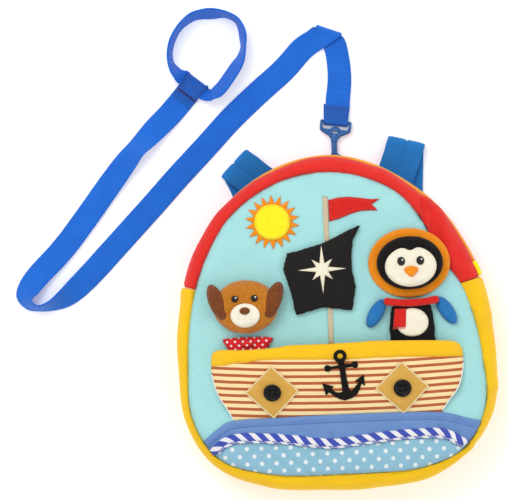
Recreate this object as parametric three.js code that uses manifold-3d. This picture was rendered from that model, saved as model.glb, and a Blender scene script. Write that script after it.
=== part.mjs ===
// Toddler backpack with a padded harbour picture on its front, and its safety leash.
// The bag lies on its back. Millimetres: +X to the right of the picture, +Y to the bag's top, +Z up.
import * as THREE from "three";
import { mergeVertices } from "three/addons/utils/BufferGeometryUtils.js";
import Module from "manifold-3d";

const wasm = await Module();
wasm.setup();

// Driving sizes of the bag
const bagWidth = 261;
const bagHeight = 274;
const sideDepth = 48; // from the back seam to the front seam
const domeHeight = 8; // of the front panel over its seam
const cloth = 1.8; // a padded cloth wall
const felt = 1.2;
const clear = 0.3; // between neighbouring pieces
const pictureInset = 0.9; // of the picture's layers inside the front seam
const backTuck = 22; // how far the back seam lies inside the widest line
const creaseDepth = 3.5; // of the pinch in the red wall at the top right

// Driving sizes of the fastenings and straps
const zipTapeWidth = 6.4;
const zipTeethWidth = 3;
const zipTeethThickness = 1.2;
const zipTuck = 3; // of the left end of the zip under the wall
const tabLength = 11;
const tabWidth = 5.4;
const tabReach = 7; // outwards from the tape
const sliderLength = 9;
const sliderWidth = 5.6;
const strapWidth = 31;
const strapThickness = 3.5;
const strapFoldRise = 3.6; // clear height inside the fold of a shoulder strap
const webbingWidth = 20;
const webbingThickness = 1.4;
const buttonDiameter = 14.6;
const buttonThickness = 2.4;
const buttonHole = 2;

// Driving sizes of the picture
const boatLength = 204;
const boatHeight = 58;
const hemHeight = 12.6;
const boatTop = -18; // height of the middle of the pocket's mouth
const pocketRise = 12; // clear depth of the pocket at its mouth
const waveHeight = 49; // from the bottom seam to the plain wave's crest
const pipingWidth = 6.4;
const patchWidth = 44;
const patchHeight = 43;
const anchorHeight = 37.4;
const mastWidth = 4.2;
const sailWidth = 66;
const sailHeight = 78;
const sailThickness = 4;
const sunDiameter = 29;
const rayReach = 8;
const pennantLength = 42;
const penguinHeight = 100;
const penguinWidth = 78;
const penguinHeadThickness = 12;
const puppyHeight = 76;
const puppyWidth = 57;
const puppyHeadThickness = 15;
const puppetBody = 5.5; // thickness of a puppet's flat body

// Levels and half sizes that follow
const halfWidth = bagWidth / 2;
const halfHeight = bagHeight / 2;
const backLevel = strapThickness + clear;
const seamLevel = backLevel + sideDepth;
const zipShare = 0.56; // of the side's depth
const zipLevel = backLevel + zipShare * sideDepth;
const zipLow = zipLevel - zipTapeWidth / 2;
const zipHigh = zipLevel + zipTapeWidth / 2;

// Colours and surfaces
const cotton = (colour) => new THREE.MeshStandardMaterial({ color: colour, roughness: 0.9, metalness: 0 });
const shiny = (colour) => new THREE.MeshStandardMaterial({ color: colour, roughness: 0.4, metalness: 0 });
const AQUA = cotton(0xa5e0df);
const RED = cotton(0xe5302d);
const YELLOW = cotton(0xffc61a);
const ORANGE = cotton(0xf5a21f);
const LEMON = cotton(0xffff00);
const TEAL_BLUE = cotton(0x2a78bc);
const WEB_BLUE = cotton(0x1f6fd6);
const BLACK = cotton(0x15130f);
const CREAM = cotton(0xfff6dc);
const HULL = cotton(0xf3d7a8);
const TAN = cotton(0xd9aa4e);
const BEIGE = cotton(0xd8c9a8);
const WAVE_BLUE = cotton(0x6a8cc4);
const PIPING_BLUE = cotton(0x3b50b0);
const DOTTED_BLUE = cotton(0x8fc1df);
const BROWN = cotton(0xc9781a);
const DARK_BROWN = cotton(0x6e3d14);
const PLASTIC_BLUE = shiny(0x2a6db0);
const BUTTON_BLACK = shiny(0x111111);

// The scene that holds every mesh
const bag = new THREE.Group();
const leash = new THREE.Group();
bag.add(leash);

function addMesh(name, geometry, material, parent = bag) {
  const mesh = new THREE.Mesh(geometry, material);
  mesh.name = name;
  parent.add(mesh);
  return mesh;
}

// Solids for cutting and joining
function toSolid(geometry) {
  const bare = new THREE.BufferGeometry();
  bare.setAttribute("position", geometry.getAttribute("position"));
  if (geometry.index) bare.setIndex(geometry.index);
  const merged = mergeVertices(bare, 1e-3);
  const vertProperties = new Float32Array(merged.attributes.position.array);
  const triVerts = new Uint32Array(merged.index.array);
  return new wasm.Manifold(new wasm.Mesh({ numProp: 3, vertProperties, triVerts }));
}

function toGeometry(solid) {
  const mesh = solid.getMesh();
  const geometry = new THREE.BufferGeometry();
  geometry.setAttribute("position", new THREE.BufferAttribute(new Float32Array(mesh.vertProperties), 3));
  geometry.setIndex(new THREE.BufferAttribute(new Uint32Array(mesh.triVerts), 1));
  return geometry.toNonIndexed();
}

// Closed tube through rings of the same count of points, with flat ends, or joined end to end
function skin(rings, closed = false) {
  const positions = [];
  const put = (...points) => points.forEach((p) => positions.push(p.x, p.y, p.z));
  const count = rings[0].length;
  const steps = closed ? rings.length : rings.length - 1;
  for (let i = 0; i < steps; i++) {
    const here = rings[i];
    const next = rings[(i + 1) % rings.length];
    for (let j = 0; j < count; j++) {
      const k = (j + 1) % count;
      put(here[j], next[j], next[k]);
      put(here[j], next[k], here[k]);
    }
  }
  if (!closed) {
    const last = rings[rings.length - 1];
    for (let j = 0; 2 * j < count - 2; j++) {
      const far = count - 1 - j;
      put(rings[0][j], rings[0][j + 1], rings[0][far]);
      put(last[j], last[far], last[j + 1]);
      if (far - 1 > j + 1) {
        put(rings[0][j + 1], rings[0][far - 1], rings[0][far]);
        put(last[j + 1], last[far], last[far - 1]);
      }
    }
  }
  const geometry = new THREE.BufferGeometry();
  geometry.setAttribute("position", new THREE.Float32BufferAttribute(positions, 3));
  return geometry;
}

// Turns a tube's faces outwards when its rings ran the other way
function outward(geometry) {
  const solid = toSolid(geometry);
  if (solid.volume() > 0) return geometry;
  const array = geometry.attributes.position.array;
  for (let i = 0; i < array.length; i += 9) {
    for (let j = 0; j < 3; j++) {
      const kept = array[i + 3 + j];
      array[i + 3 + j] = array[i + 6 + j];
      array[i + 6 + j] = kept;
    }
  }
  return geometry;
}

// Contour of the bag from the front, every 15 degrees from the right-hand side, anticlockwise
// [widest line, front seam] as shares of half the bag's width and height
const CONTOUR = [
  [0.965, 0.855], [0.945, 0.805], [0.932, 0.75], [0.94, 0.8], [0.947, 0.857], [0.973, 0.88],
  [0.997, 0.898], [0.999, 0.91], [1.0, 0.917], [1.003, 0.922], [0.999, 0.91], [0.998, 0.912],
  [1.002, 0.932], [1.044, 0.985], [1.128, 1.082], [1.157, 1.108], [1.096, 1.018], [1.03, 0.94],
  [1.003, 0.908], [1.026, 0.938], [1.095, 1.02], [1.128, 1.09], [1.114, 1.046], [1.02, 0.93],
];
const contourStep = 360 / CONTOUR.length;
const WIDEST = 0;
const FRONT_SEAM = 1;

function contourShare(column, degrees) {
  const place = (((degrees % 360) + 360) % 360) / contourStep;
  const row = Math.floor(place);
  const t = place - row;
  const at = (offset) => CONTOUR[(row + offset + CONTOUR.length) % CONTOUR.length][column];
  const bend = at(2) - 3 * at(1) + 3 * at(0) - at(-1);
  const rise = 2 * at(-1) - 5 * at(0) + 4 * at(1) - at(2);
  return at(0) + 0.5 * t * (at(1) - at(-1) + t * (rise + t * bend));
}

const ray = (degrees) => {
  const angle = THREE.MathUtils.degToRad(degrees);
  return new THREE.Vector2(halfWidth * Math.cos(angle), halfHeight * Math.sin(angle));
};
const reach = (column, degrees) => contourShare(column, degrees) * ray(degrees).length();
const along = (degrees, distance, z) => {
  const flat = ray(degrees).setLength(distance);
  return new THREE.Vector3(flat.x, flat.y, z);
};
const angleOf = (x, y) => THREE.MathUtils.radToDeg(Math.atan2(y / halfHeight, x / halfWidth));

// Rings are cut at the same angles everywhere, so neighbours share their facets
const ringStep = 7.5;
function ringAngles(from, to) {
  const angles = [from];
  for (let a = (Math.floor(from / ringStep) + 1) * ringStep; a < to - 0.5; a += ringStep) {
    if (a > from + 0.5) angles.push(a);
  }
  angles.push(to);
  return angles;
}

// Distance of a line from the middle, on the straight edge between its two ring angles
function ringReach(lineAt, degrees) {
  const low = Math.floor(degrees / ringStep) * ringStep;
  const share = (degrees - low) / ringStep;
  if (share < 1e-6) return lineAt(low);
  const a = along(low, lineAt(low), 0);
  const b = along(low + ringStep, lineAt(low + ringStep), 0);
  const way = ray(degrees).normalize();
  const edge = b.clone().sub(a);
  const cross = way.x * edge.y - way.y * edge.x;
  return (a.x * edge.y - a.y * edge.x) / cross;
}

// Front face of the bag: a low dome that flattens towards its middle
const domePower = 2.4;
function face(x, y) {
  const degrees = angleOf(x, y);
  const share = Math.hypot(x / halfWidth, y / halfHeight) / contourShare(FRONT_SEAM, degrees);
  return seamLevel + domeHeight * (1 - Math.pow(share, domePower));
}

// Side wall, from the back seam over the widest line to the front seam
// [share of the way out from the nearer seam, share of the depth]
const WALL = [
  [0, 0], [0.3, 0.05], [0.7, 0.2], [0.93, 0.38], [1, zipShare], [0.95, 0.76], [0.66, 0.92], [0, 1],
];
const creaseAngle = 47;
const creaseSpread = 7;
const frontSeamAt = (degrees) => reach(FRONT_SEAM, degrees);
const backSeamAt = (degrees) => reach(WIDEST, degrees) - backTuck;
const pinch = (degrees) => creaseDepth * Math.exp(-(((degrees - creaseAngle) / creaseSpread) ** 2));

function wallPoint(degrees, row) {
  const [out, height] = row;
  const seam = ringReach(height < zipShare ? backSeamAt : frontSeamAt, degrees);
  const widest = ringReach((a) => reach(WIDEST, a), degrees);
  const dent = height > zipShare ? pinch(degrees) * out * (1 - height) * 4 : 0;
  return new THREE.Vector2(seam + (widest - seam) * out - dent, backLevel + height * sideDepth);
}

// Where the wall crosses a level, for its edges along the zip
function wallAtLevel(degrees, level) {
  const points = WALL.map((row) => wallPoint(degrees, row));
  const i = points.findIndex((p, k) => k > 0 && p.y >= level);
  const t = (level - points[i - 1].y) / (points[i].y - points[i - 1].y);
  return points[i - 1].clone().lerp(points[i], t);
}

// Adds the inside of a wall to its outside, one cloth thickness in, with a given way in at each end
const backEnd = new THREE.Vector2(0, 1);
const frontEnd = new THREE.Vector2(0, -1);
const zipEnd = new THREE.Vector2(-1, 0);
function withInside(outside, startWay, endWay) {
  const inside = outside.map((p, i) => {
    const before = outside[Math.max(i - 1, 0)];
    const after = outside[Math.min(i + 1, outside.length - 1)];
    const way = after.clone().sub(before).normalize();
    let inward = new THREE.Vector2(-way.y, way.x);
    if (i === 0) inward = startWay;
    if (i === outside.length - 1) inward = endWay;
    return p.clone().addScaledVector(inward, cloth);
  });
  return [...outside, ...inside.reverse()];
}

function wallBand(from, to, sectionAt) {
  const rings = ringAngles(from, to).map((a) => sectionAt(a).map((p) => along(a, p.x, p.y)));
  return outward(skin(rings));
}

// Places round the contour, in degrees
const rightSeamAngle = 14.6;
const leftSeamAngle = 165.4;
const seamGap = 0.25;
const tabInset = 0.9;

function zipInset(degrees) {
  return THREE.MathUtils.smoothstep(degrees, 100, 150) * zipTuck;
}
const zipFace = (degrees) => wallAtLevel(degrees, zipLevel).x - zipInset(degrees);

function makeWalls() {
  const red = [rightSeamAngle + seamGap, leftSeamAngle - seamGap];
  const yellow = [leftSeamAngle, rightSeamAngle + 360];
  const backRows = WALL.filter((row) => row[1] < 0.45);
  const frontRows = WALL.filter((row) => row[1] > 0.65);
  const redBack = wallBand(red[0], red[1], (a) => {
    const edge = wallAtLevel(a, zipLow);
    edge.x -= zipInset(a);
    return withInside([...backRows.map((row) => wallPoint(a, row)), edge], backEnd, zipEnd);
  });
  const redFront = wallBand(red[0], red[1], (a) => {
    const edge = wallAtLevel(a, zipHigh);
    edge.x -= zipInset(a) * 0.5;
    return withInside([edge, ...frontRows.map((row) => wallPoint(a, row))], zipEnd, frontEnd);
  });
  const wholeSide = (a) => withInside(WALL.map((row) => wallPoint(a, row)), backEnd, frontEnd);
  addMesh("gusset_red_back", redBack, RED);
  addMesh("gusset_red_front", redFront, RED);
  addMesh("gusset_yellow", wallBand(yellow[0], yellow[1], wholeSide), YELLOW);
}

// A block that follows the contour between two angles
function contourBlock(from, to, innerAt, outerAt, low, high) {
  return wallBand(from, to, (a) => {
    const inner = innerAt(a);
    const outer = outerAt(a);
    return [
      new THREE.Vector2(inner, low), new THREE.Vector2(outer, low),
      new THREE.Vector2(outer, high), new THREE.Vector2(inner, high),
    ];
  });
}

const tapeOutside = (a) => zipFace(a) - zipTeethThickness - clear;
const tapeInside = (a) => tapeOutside(a) - cloth;
const degreesFor = (length, at) => THREE.MathUtils.radToDeg(length / reach(WIDEST, at));

const sliderAngle = 150;

function makeZip() {
  const low = zipLow + clear;
  const high = zipHigh - clear;
  const start = rightSeamAngle + seamGap;
  const end = leftSeamAngle - seamGap;
  addMesh("zip_tape", contourBlock(start, end, tapeInside, tapeOutside, low, high), ORANGE);
  const tabSpan = degreesFor(tabLength, start);
  const rightTab = [start + tabInset, start + tabInset + tabSpan];
  const leftTab = [end - tabInset - tabSpan, end - tabInset];
  const teethInside = (a) => zipFace(a) - zipTeethThickness;
  const teethLow = zipLevel - zipTeethWidth / 2;
  const teethHigh = zipLevel + zipTeethWidth / 2;
  const teeth = [rightTab[1] + seamGap, leftTab[0] - seamGap];
  addMesh("zip_teeth", contourBlock(teeth[0], teeth[1], teethInside, zipFace, teethLow, teethHigh), ORANGE);
  const tabLow = zipLevel - tabWidth / 2;
  const tabHigh = zipLevel + tabWidth / 2;
  const tabRoot = teethInside;
  for (const [name, span] of [["zip_tab_right", rightTab], ["zip_tab_left", leftTab]]) {
    const tip = (a) => tabRoot(a) + tabReach;
    addMesh(name, contourBlock(span[0], span[1], tabRoot, tip, tabLow, tabHigh), LEMON);
  }
  const sliderSpan = degreesFor(sliderLength, sliderAngle) / 2;
  const sliderRoot = (a) => zipFace(a) + clear;
  const sliderTop = (a) => sliderRoot(a) + zipTuck;
  const sliderSide = sliderWidth / 2;
  addMesh(
    "zip_slider",
    contourBlock(
      sliderAngle - sliderSpan, sliderAngle + sliderSpan, sliderRoot, sliderTop,
      zipLevel - sliderSide, zipLevel + sliderSide,
    ),
    ORANGE,
  );
}

// Prism over an outline, high enough to cut any layer of the front
function prism(shape, low = 0, high = seamLevel + 60) {
  const geometry = new THREE.ExtrudeGeometry(shape, { depth: high - low, bevelEnabled: false, curveSegments: 6 });
  return toSolid(geometry.translate(0, 0, low));
}

function seamShape(inset, lineAt) {
  const points = [];
  for (let a = 0; a < 360; a += ringStep) {
    const p = along(a, lineAt(a) - inset, 0);
    points.push(new THREE.Vector2(p.x, p.y));
  }
  return new THREE.Shape(points);
}

// Layer that follows the front face at a given lift and thickness, on one grid shared by all layers
const gridCell = 16;
function layer(lift, thickness) {
  const columns = 2 * Math.ceil(halfWidth / gridCell + 1);
  const rows = 2 * Math.ceil(halfHeight / gridCell + 1);
  const x0 = (-columns / 2) * gridCell;
  const y0 = (-rows / 2) * gridCell;
  const positions = [];
  const index = [];
  for (const top of [0, 1]) {
    for (let j = 0; j <= rows; j++) {
      for (let i = 0; i <= columns; i++) {
        const x = x0 + i * gridCell;
        const y = y0 + j * gridCell;
        positions.push(x, y, face(x, y) + lift(x, y) + top * thickness);
      }
    }
  }
  const wide = columns + 1;
  const sheet = wide * (rows + 1);
  const quad = (a, b, c, d) => index.push(a, b, c, a, c, d);
  for (let j = 0; j < rows; j++) {
    for (let i = 0; i < columns; i++) {
      const k = j * wide + i;
      quad(k, k + wide, k + wide + 1, k + 1);
      quad(sheet + k, sheet + k + 1, sheet + k + wide + 1, sheet + k + wide);
    }
  }
  for (let i = 0; i < columns; i++) {
    quad(i, i + 1, sheet + i + 1, sheet + i);
    const k = rows * wide + i;
    quad(k + 1, k, sheet + k, sheet + k + 1);
  }
  for (let j = 0; j < rows; j++) {
    const k = j * wide;
    quad(k + wide, k, sheet + k, sheet + k + wide);
    const m = k + columns;
    quad(m, m + wide, sheet + m + wide, sheet + m);
  }
  const geometry = new THREE.BufferGeometry();
  geometry.setAttribute("position", new THREE.Float32BufferAttribute(positions, 3));
  geometry.setIndex(index);
  return toSolid(geometry);
}

const flatLift = (amount) => () => amount;
const panelCut = prism(seamShape(clear, frontSeamAt));
const pictureCut = prism(seamShape(pictureInset, frontSeamAt));

function addLayer(name, shape, lift, thickness, material, less = null) {
  let solid = layer(lift, thickness).intersect(prism(shape)).intersect(pictureCut);
  if (less) solid = solid.subtract(less);
  addMesh(name, toGeometry(solid), material);
}

function makePanels() {
  addMesh("front_panel", toGeometry(layer(flatLift(-cloth), cloth).intersect(panelCut)), AQUA);
  const back = prism(seamShape(clear, backSeamAt), backLevel, backLevel + cloth);
  addMesh("back_panel", toGeometry(back), YELLOW);
}

// Outline through points given as shares of a width and a height about a middle
function outline(points, width, height, x = 0, y = 0, closed = true, steps = 3) {
  const curve = new THREE.CatmullRomCurve3(
    points.map(([px, py]) => new THREE.Vector3(x + px * width, y + py * height, 0)),
    closed,
    "centripetal",
  );
  const count = steps * (closed ? points.length : points.length - 1);
  return curve.getPoints(count).slice(0, closed ? -1 : undefined).map((p) => new THREE.Vector2(p.x, p.y));
}
const corners = (points, width, height, x = 0, y = 0) =>
  new THREE.Shape(points.map(([px, py]) => new THREE.Vector2(x + px * width, y + py * height)));

// Waves: [share of half the bag's width, share of the waves' height over the bottom seam]
const bottomSeam = -halfHeight * CONTOUR[18][FRONT_SEAM];
const WAVE_CREST = [
  [-1.06, 0.3], [-0.88, 0.64], [-0.78, 0.85], [-0.68, 0.975], [-0.4, 1.0], [0.02, 1.01], [0.4, 1.0],
  [0.63, 0.97], [0.78, 0.86], [0.9, 0.77], [1.06, 0.55],
];
const PIPING_LINE = [
  [-1.06, -0.3], [-0.83, 0.42], [-0.74, 0.64], [-0.64, 0.7], [-0.47, 0.68], [-0.32, 0.64], [-0.09, 0.55],
  [0.1, 0.585], [0.3, 0.635], [0.45, 0.655], [0.59, 0.65], [0.665, 0.605], [0.73, 0.5], [0.79, 0.36], [1.0, -0.4],
];
const waveLine = (table, shift) =>
  outline(table, halfWidth, waveHeight, 0, bottomSeam + shift, false, 2);
const below = (line) => new THREE.Shape([
  ...line,
  new THREE.Vector2(halfWidth * 1.3, -halfHeight * 1.3),
  new THREE.Vector2(-halfWidth * 1.3, -halfHeight * 1.3),
]);

// Line moved sideways, to its left-hand side for a positive distance
function beside(line, distance) {
  return line.map((p, i) => {
    const way = line[Math.min(i + 1, line.length - 1)].clone().sub(line[Math.max(i - 1, 0)]).normalize();
    return new THREE.Vector2(p.x - way.y * distance, p.y + way.x * distance);
  });
}

function makeWaves() {
  const crest = waveLine(WAVE_CREST, 0);
  const piping = waveLine(PIPING_LINE, 0);
  const half = pipingWidth / 2;
  const upper = beside(piping, half);
  const lower = beside(piping, -half);
  const lift = flatLift(clear);
  addLayer("wave_back", below(crest), lift, felt, WAVE_BLUE, prism(below(beside(piping, half + clear))));
  const band = new THREE.Shape([...upper, ...lower.slice().reverse()]);
  addLayer("wave_binding", band, lift, 2 * cloth, PIPING_BLUE);
  addLayer("wave_front", below(beside(piping, -half - clear)), lift, felt * 1.5, DOTTED_BLUE);
}

// Boat pocket: [share of half the boat's length, share of the boat's height below its mouth]
const hullShare = hemHeight / boatHeight;
const MOUTH = [[-1.02, 0.03], [-0.68, 0.0], [-0.31, -0.03], [0, -0.04], [0.43, -0.03], [1.0, 0.05]];
const RIGHT_SIDE = [[0.98, 0.12], [0.985, 0.3], [0.975, 0.5], [0.94, 0.7], [0.86, 0.88], [0.76, 1.1]];
const LEFT_SIDE = [[-0.86, 1.1], [-0.95, 0.88], [-1.0, 0.7], [-1.03, 0.5], [-1.035, 0.3], [-1.035, 0.12]];

function pocket(x, y) {
  const across = Math.min(Math.abs(x) / (boatLength / 2), 1);
  const down = THREE.MathUtils.clamp((boatTop - y) / boatHeight, 0, 1);
  return clear + pocketRise * (1 - Math.pow(across, 10)) * (1 - Math.pow(down, 1.6));
}
const boatLine = (table, drop = 0) =>
  outline(table.map(([x, y]) => [x, -y - drop]), boatLength / 2, boatHeight, 0, boatTop, false, 2);

function makeBoat() {
  const mouth = boatLine(MOUTH);
  const hemLow = boatLine(MOUTH, hullShare);
  const hem = new THREE.Shape([...mouth, ...hemLow.slice().reverse()]);
  addLayer("boat_hem", hem, pocket, cloth, YELLOW);
  const hullTop = beside(hemLow, -clear);
  const hull = new THREE.Shape([...boatLine(RIGHT_SIDE), ...boatLine(LEFT_SIDE)]);
  const far = bagWidth;
  const hemZone = new THREE.Shape([
    new THREE.Vector2(-far, boatTop + hemHeight),
    ...mouth.map((p) => p.clone().add(new THREE.Vector2(0, 1))),
    new THREE.Vector2(far, boatTop + hemHeight),
    new THREE.Vector2(far, hullTop[hullTop.length - 1].y),
    ...hullTop.slice().reverse(),
    new THREE.Vector2(-far, hullTop[0].y),
  ]);
  const waves = prism(below(beside(waveLine(WAVE_CREST, 0), clear)));
  addLayer("boat_hull", hull, pocket, felt, HULL, waves.add(prism(hemZone)));
}

// Pieces that lie on the hull
const patchLevel = felt + clear;
// [side, share of half the boat's length, share of its height below the mouth]
const PATCHES = [["left", -0.549, 0.63], ["right", 0.49, 0.645]];
function onHull(extra) {
  return (x, y) => pocket(x, y) + extra;
}

function buttonShape(x, y) {
  const shape = new THREE.Shape().absarc(x, y, buttonDiameter / 2, 0, 2 * Math.PI);
  const offset = buttonHole * 0.9;
  for (const [sx, sy] of [[-1, -1], [1, -1], [1, 1], [-1, 1]]) {
    const hole = new THREE.Path().absarc(x + sx * offset, y + sy * offset, buttonHole / 2, 0, 2 * Math.PI, true);
    shape.holes.push(hole);
  }
  return shape;
}

// Anchor: its right half from the stock down to the lowest point, as shares of its height, x then y
const ANCHOR_HALF = [
  [0.05, -0.12], [0.05, -0.18], [0.3, -0.15], [0.36, -0.1], [0.42, -0.17], [0.36, -0.25], [0.3, -0.22],
  [0.055, -0.25], [0.055, -0.7], [0.16, -0.76], [0.27, -0.68], [0.25, -0.56], [0.4, -0.47], [0.44, -0.62],
  [0.37, -0.67], [0.26, -0.84], [0.1, -0.9], [0, -0.98],
];
function anchorShape(x, y) {
  const ring = anchorHeight * 0.14;
  const left = ANCHOR_HALF.slice(0, -1).map(([px, py]) => [-px, py]).reverse();
  const body = corners([...ANCHOR_HALF, ...left], anchorHeight, anchorHeight, x, y);
  const eye = new THREE.Shape().absarc(x, y, ring, 0, 2 * Math.PI);
  const hole = new THREE.Shape().absarc(x, y, ring * 0.5, 0, 2 * Math.PI);
  return prism(body).add(prism(eye)).subtract(prism(hole));
}

function makeHullPieces() {
  for (const [side, across, down] of PATCHES) {
    const x = (across * boatLength) / 2;
    const y = boatTop - down * boatHeight;
    const diamond = corners([[0, 1], [-1, 0.02], [0.02, -1], [0.98, 0.02]], patchWidth / 2, patchHeight / 2, x, y);
    addLayer("porthole_patch_" + side, diamond, onHull(patchLevel), felt, TAN);
    const buttonLift = onHull(patchLevel + felt + clear);
    addLayer("button_" + side, buttonShape(x, y), buttonLift, buttonThickness, BUTTON_BLACK);
  }
  // the anchor's eye lies on the hem, its shank and flukes on the hull
  const anchor = layer(onHull(cloth + clear), felt * 1.5).intersect(anchorShape(0, boatTop - hemHeight * 0.72));
  addMesh("anchor", toGeometry(anchor), BLACK);
}

// Upper scene
const mastX = -halfWidth * 0.046;
const mastTop = halfHeight * 0.76;
const SAIL = [
  [0.54, 0.5], [0.42, 0.28], [0.4, 0], [0.44, -0.2], [0.38, -0.47], [0, -0.43], [-0.38, -0.5],
  [-0.43, -0.25], [-0.52, 0.02], [-0.46, 0.2], [0, 0.3],
];
const sailX = -halfWidth * 0.084;
const sailY = halfHeight * 0.32;
const sunX = -halfWidth * 0.383;
const sunY = halfHeight * 0.613;
const rayCount = 18;
const ribbon = 0.8;

function starShape(x, y, points, inner, outer, innerTurn = 0.5) {
  const shape = new THREE.Shape();
  for (let i = 0; i < 2 * points; i++) {
    const radius = i % 2 ? inner : outer(i / 2);
    const angle = Math.PI / 2 + ((Math.floor(i / 2) + (i % 2 ? innerTurn : 0)) * 2 * Math.PI) / points;
    const px = x + radius * Math.cos(angle);
    const py = y + radius * Math.sin(angle);
    if (i) shape.lineTo(px, py);
    else shape.moveTo(px, py);
  }
  return shape;
}

function makeUpperScene() {
  const half = mastWidth / 2;
  const mastBottom = boatTop + 1;
  const mast = corners([[-1, mastBottom], [1, mastBottom], [1, mastTop], [-1, mastTop]], half, 1, mastX);
  addLayer("mast", mast, flatLift(clear), ribbon, BEIGE);
  const pennant = corners(
    [[0, 0], [0.5, 0.03], [1, -0.02], [0.84, -0.12], [0.95, -0.24], [0.5, -0.27], [0, -0.42]],
    pennantLength, pennantLength, mastX + half + clear, mastTop - 4,
  );
  addLayer("pennant", pennant, flatLift(clear), felt, RED);
  const sailLift = clear + ribbon + clear;
  const sail = new THREE.Shape(outline(SAIL, sailWidth, sailHeight, sailX, sailY, true, 1));
  addLayer("sail", sail, flatLift(sailLift), sailThickness, BLACK);
  const long = sailWidth * 0.3;
  const star = starShape(sailX, sailY, 8, long * 0.27, (i) => (i % 2 ? long * 0.6 : long));
  addLayer("sail_emblem", star, flatLift(sailLift + sailThickness + clear), felt, CREAM);
  const disc = sunDiameter / 2;
  const rays = starShape(sunX, sunY, rayCount, disc + 1, () => disc + rayReach);
  addLayer("sun_rays", rays, flatLift(clear), felt, ORANGE);
  const sun = new THREE.Shape().absarc(sunX, sunY, disc, 0, 2 * Math.PI);
  addLayer("sun_disc", sun, flatLift(felt + 2 * clear), felt, LEMON);
}

// Puppets: flat-backed pieces on a plane that touches the dome, tucked into the pocket
function puppetGroup(x, y, halfW, low, high, touchY) {
  const step = 1;
  const slopeX = (face(x + step, touchY) - face(x - step, touchY)) / (2 * step);
  const slopeY = (face(x, touchY + step) - face(x, touchY - step)) / (2 * step);
  const level = face(x, touchY) + slopeY * (y - touchY);
  let rise = 0;
  for (let i = -6; i <= 6; i++) {
    for (let j = -6; j <= 6; j++) {
      const px = (i / 6) * halfW;
      const py = j < 0 ? (-j / 6) * low : (j / 6) * high;
      const plane = level + slopeX * px + slopeY * py;
      rise = Math.max(rise, face(x + px, y + py) - plane);
    }
  }
  const group = new THREE.Group();
  const normal = new THREE.Vector3(-slopeX, -slopeY, 1).normalize();
  group.quaternion.setFromUnitVectors(new THREE.Vector3(0, 0, 1), normal);
  group.position.set(x, y, level + rise + 2 * clear);
  bag.add(group);
  return group;
}

const ellipse = (x, y, rx, ry, turn = 0) =>
  new THREE.Shape().absellipse(x, y, rx, ry, 0, 2 * Math.PI, false, THREE.MathUtils.degToRad(turn));

// Slab over a shape, with softly rounded upper and lower edges when it is padded
function padded(shape, low, thickness, rounding = 0, segments = 6) {
  const bevel = Math.min(rounding, thickness * 0.45);
  return new THREE.ExtrudeGeometry(shape, {
    depth: thickness - 2 * bevel,
    bevelEnabled: bevel > 0,
    bevelThickness: bevel,
    bevelSize: bevel,
    bevelOffset: -bevel,
    bevelSegments: 2,
    curveSegments: segments,
  }).translate(0, 0, low + bevel);
}

// Penguin
const penguinX = halfWidth * 0.46;
const penguinY = halfHeight * 0.19;

function makePenguin() {
  const w = penguinWidth;
  const h = penguinHeight;
  const tall = h / 2;
  const group = puppetGroup(penguinX, penguinY, w * 0.3, -tall, tall, boatTop);
  const add = (name, geometry, material) => addMesh("penguin_" + name, geometry, material, group);
  const headY = h * 0.2;
  add("backing", padded(ellipse(0, headY, w * 0.43, h * 0.283), 0, felt), ORANGE);
  const headLow = felt + clear; // the head lies on its backing
  const headTop = headLow + penguinHeadThickness;
  add("head", padded(ellipse(0, headY, w * 0.385, h * 0.25), headLow, penguinHeadThickness, 4.5), BLACK);
  const faceLevel = headTop + clear;
  add("face", padded(ellipse(0, headY - h * 0.03, w * 0.27, h * 0.165), faceLevel, felt), CREAM);
  const onFace = faceLevel + felt + clear;
  for (const [side, sx] of [["left", -1], ["right", 1]]) {
    add("eye_" + side, padded(ellipse(sx * w * 0.1, headY + h * 0.015, 3.2, 3.6), onFace, felt, 0, 4), BLACK);
  }
  const beak = corners([[-1, 0.35], [0, 1], [1, 0.35], [0, -1]], w * 0.075, h * 0.045, 0, headY - h * 0.07);
  add("beak", padded(beak, onFace, 3 * felt, 1), ORANGE);
  const bodyTop = -h * 0.09;
  const body = new THREE.Shape(outline(
    [[-0.7, 0], [0.7, 0], [1, -0.35], [1.02, -0.7], [0.95, -1], [-0.95, -1], [-1.02, -0.7], [-1, -0.35]],
    w * 0.25, h * 0.42, 0, bodyTop - 2, true, 2,
  ));
  add("body", padded(body, 0, puppetBody, 1.5), BLACK);
  const onBody = puppetBody + clear;
  add("belly", padded(ellipse(0, -h * 0.285, w * 0.17, h * 0.115), onBody, felt), CREAM);
  for (const [side, sx] of [["left", -1], ["right", 1]]) {
    const flipper = ellipse(sx * w * 0.37, -h * 0.2, w * 0.075, h * 0.13, sx * 32);
    add("flipper_" + side, padded(flipper, 0, puppetBody, 1.5, 4), TEAL_BLUE);
  }
  const scarf = corners([[-1, 0.4], [0, 0.1], [1, 0.4], [1.02, -0.6], [0, -1], [-1.02, -0.6]],
    w * 0.27, h * 0.055, 0, -h * 0.1);
  add("scarf", padded(scarf, onBody, 2.4 * felt, 0.8), RED);
  const tail = corners([[-1, 1], [1, 1], [0.8, -1], [-1.4, -1]], w * 0.06, h * 0.075, -w * 0.12, -h * 0.245);
  add("scarf_end", padded(tail, onBody + felt + clear, felt), RED);
}

// Puppy
const puppyX = -halfWidth * 0.567;
const puppyY = halfHeight * 0.066;

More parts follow.
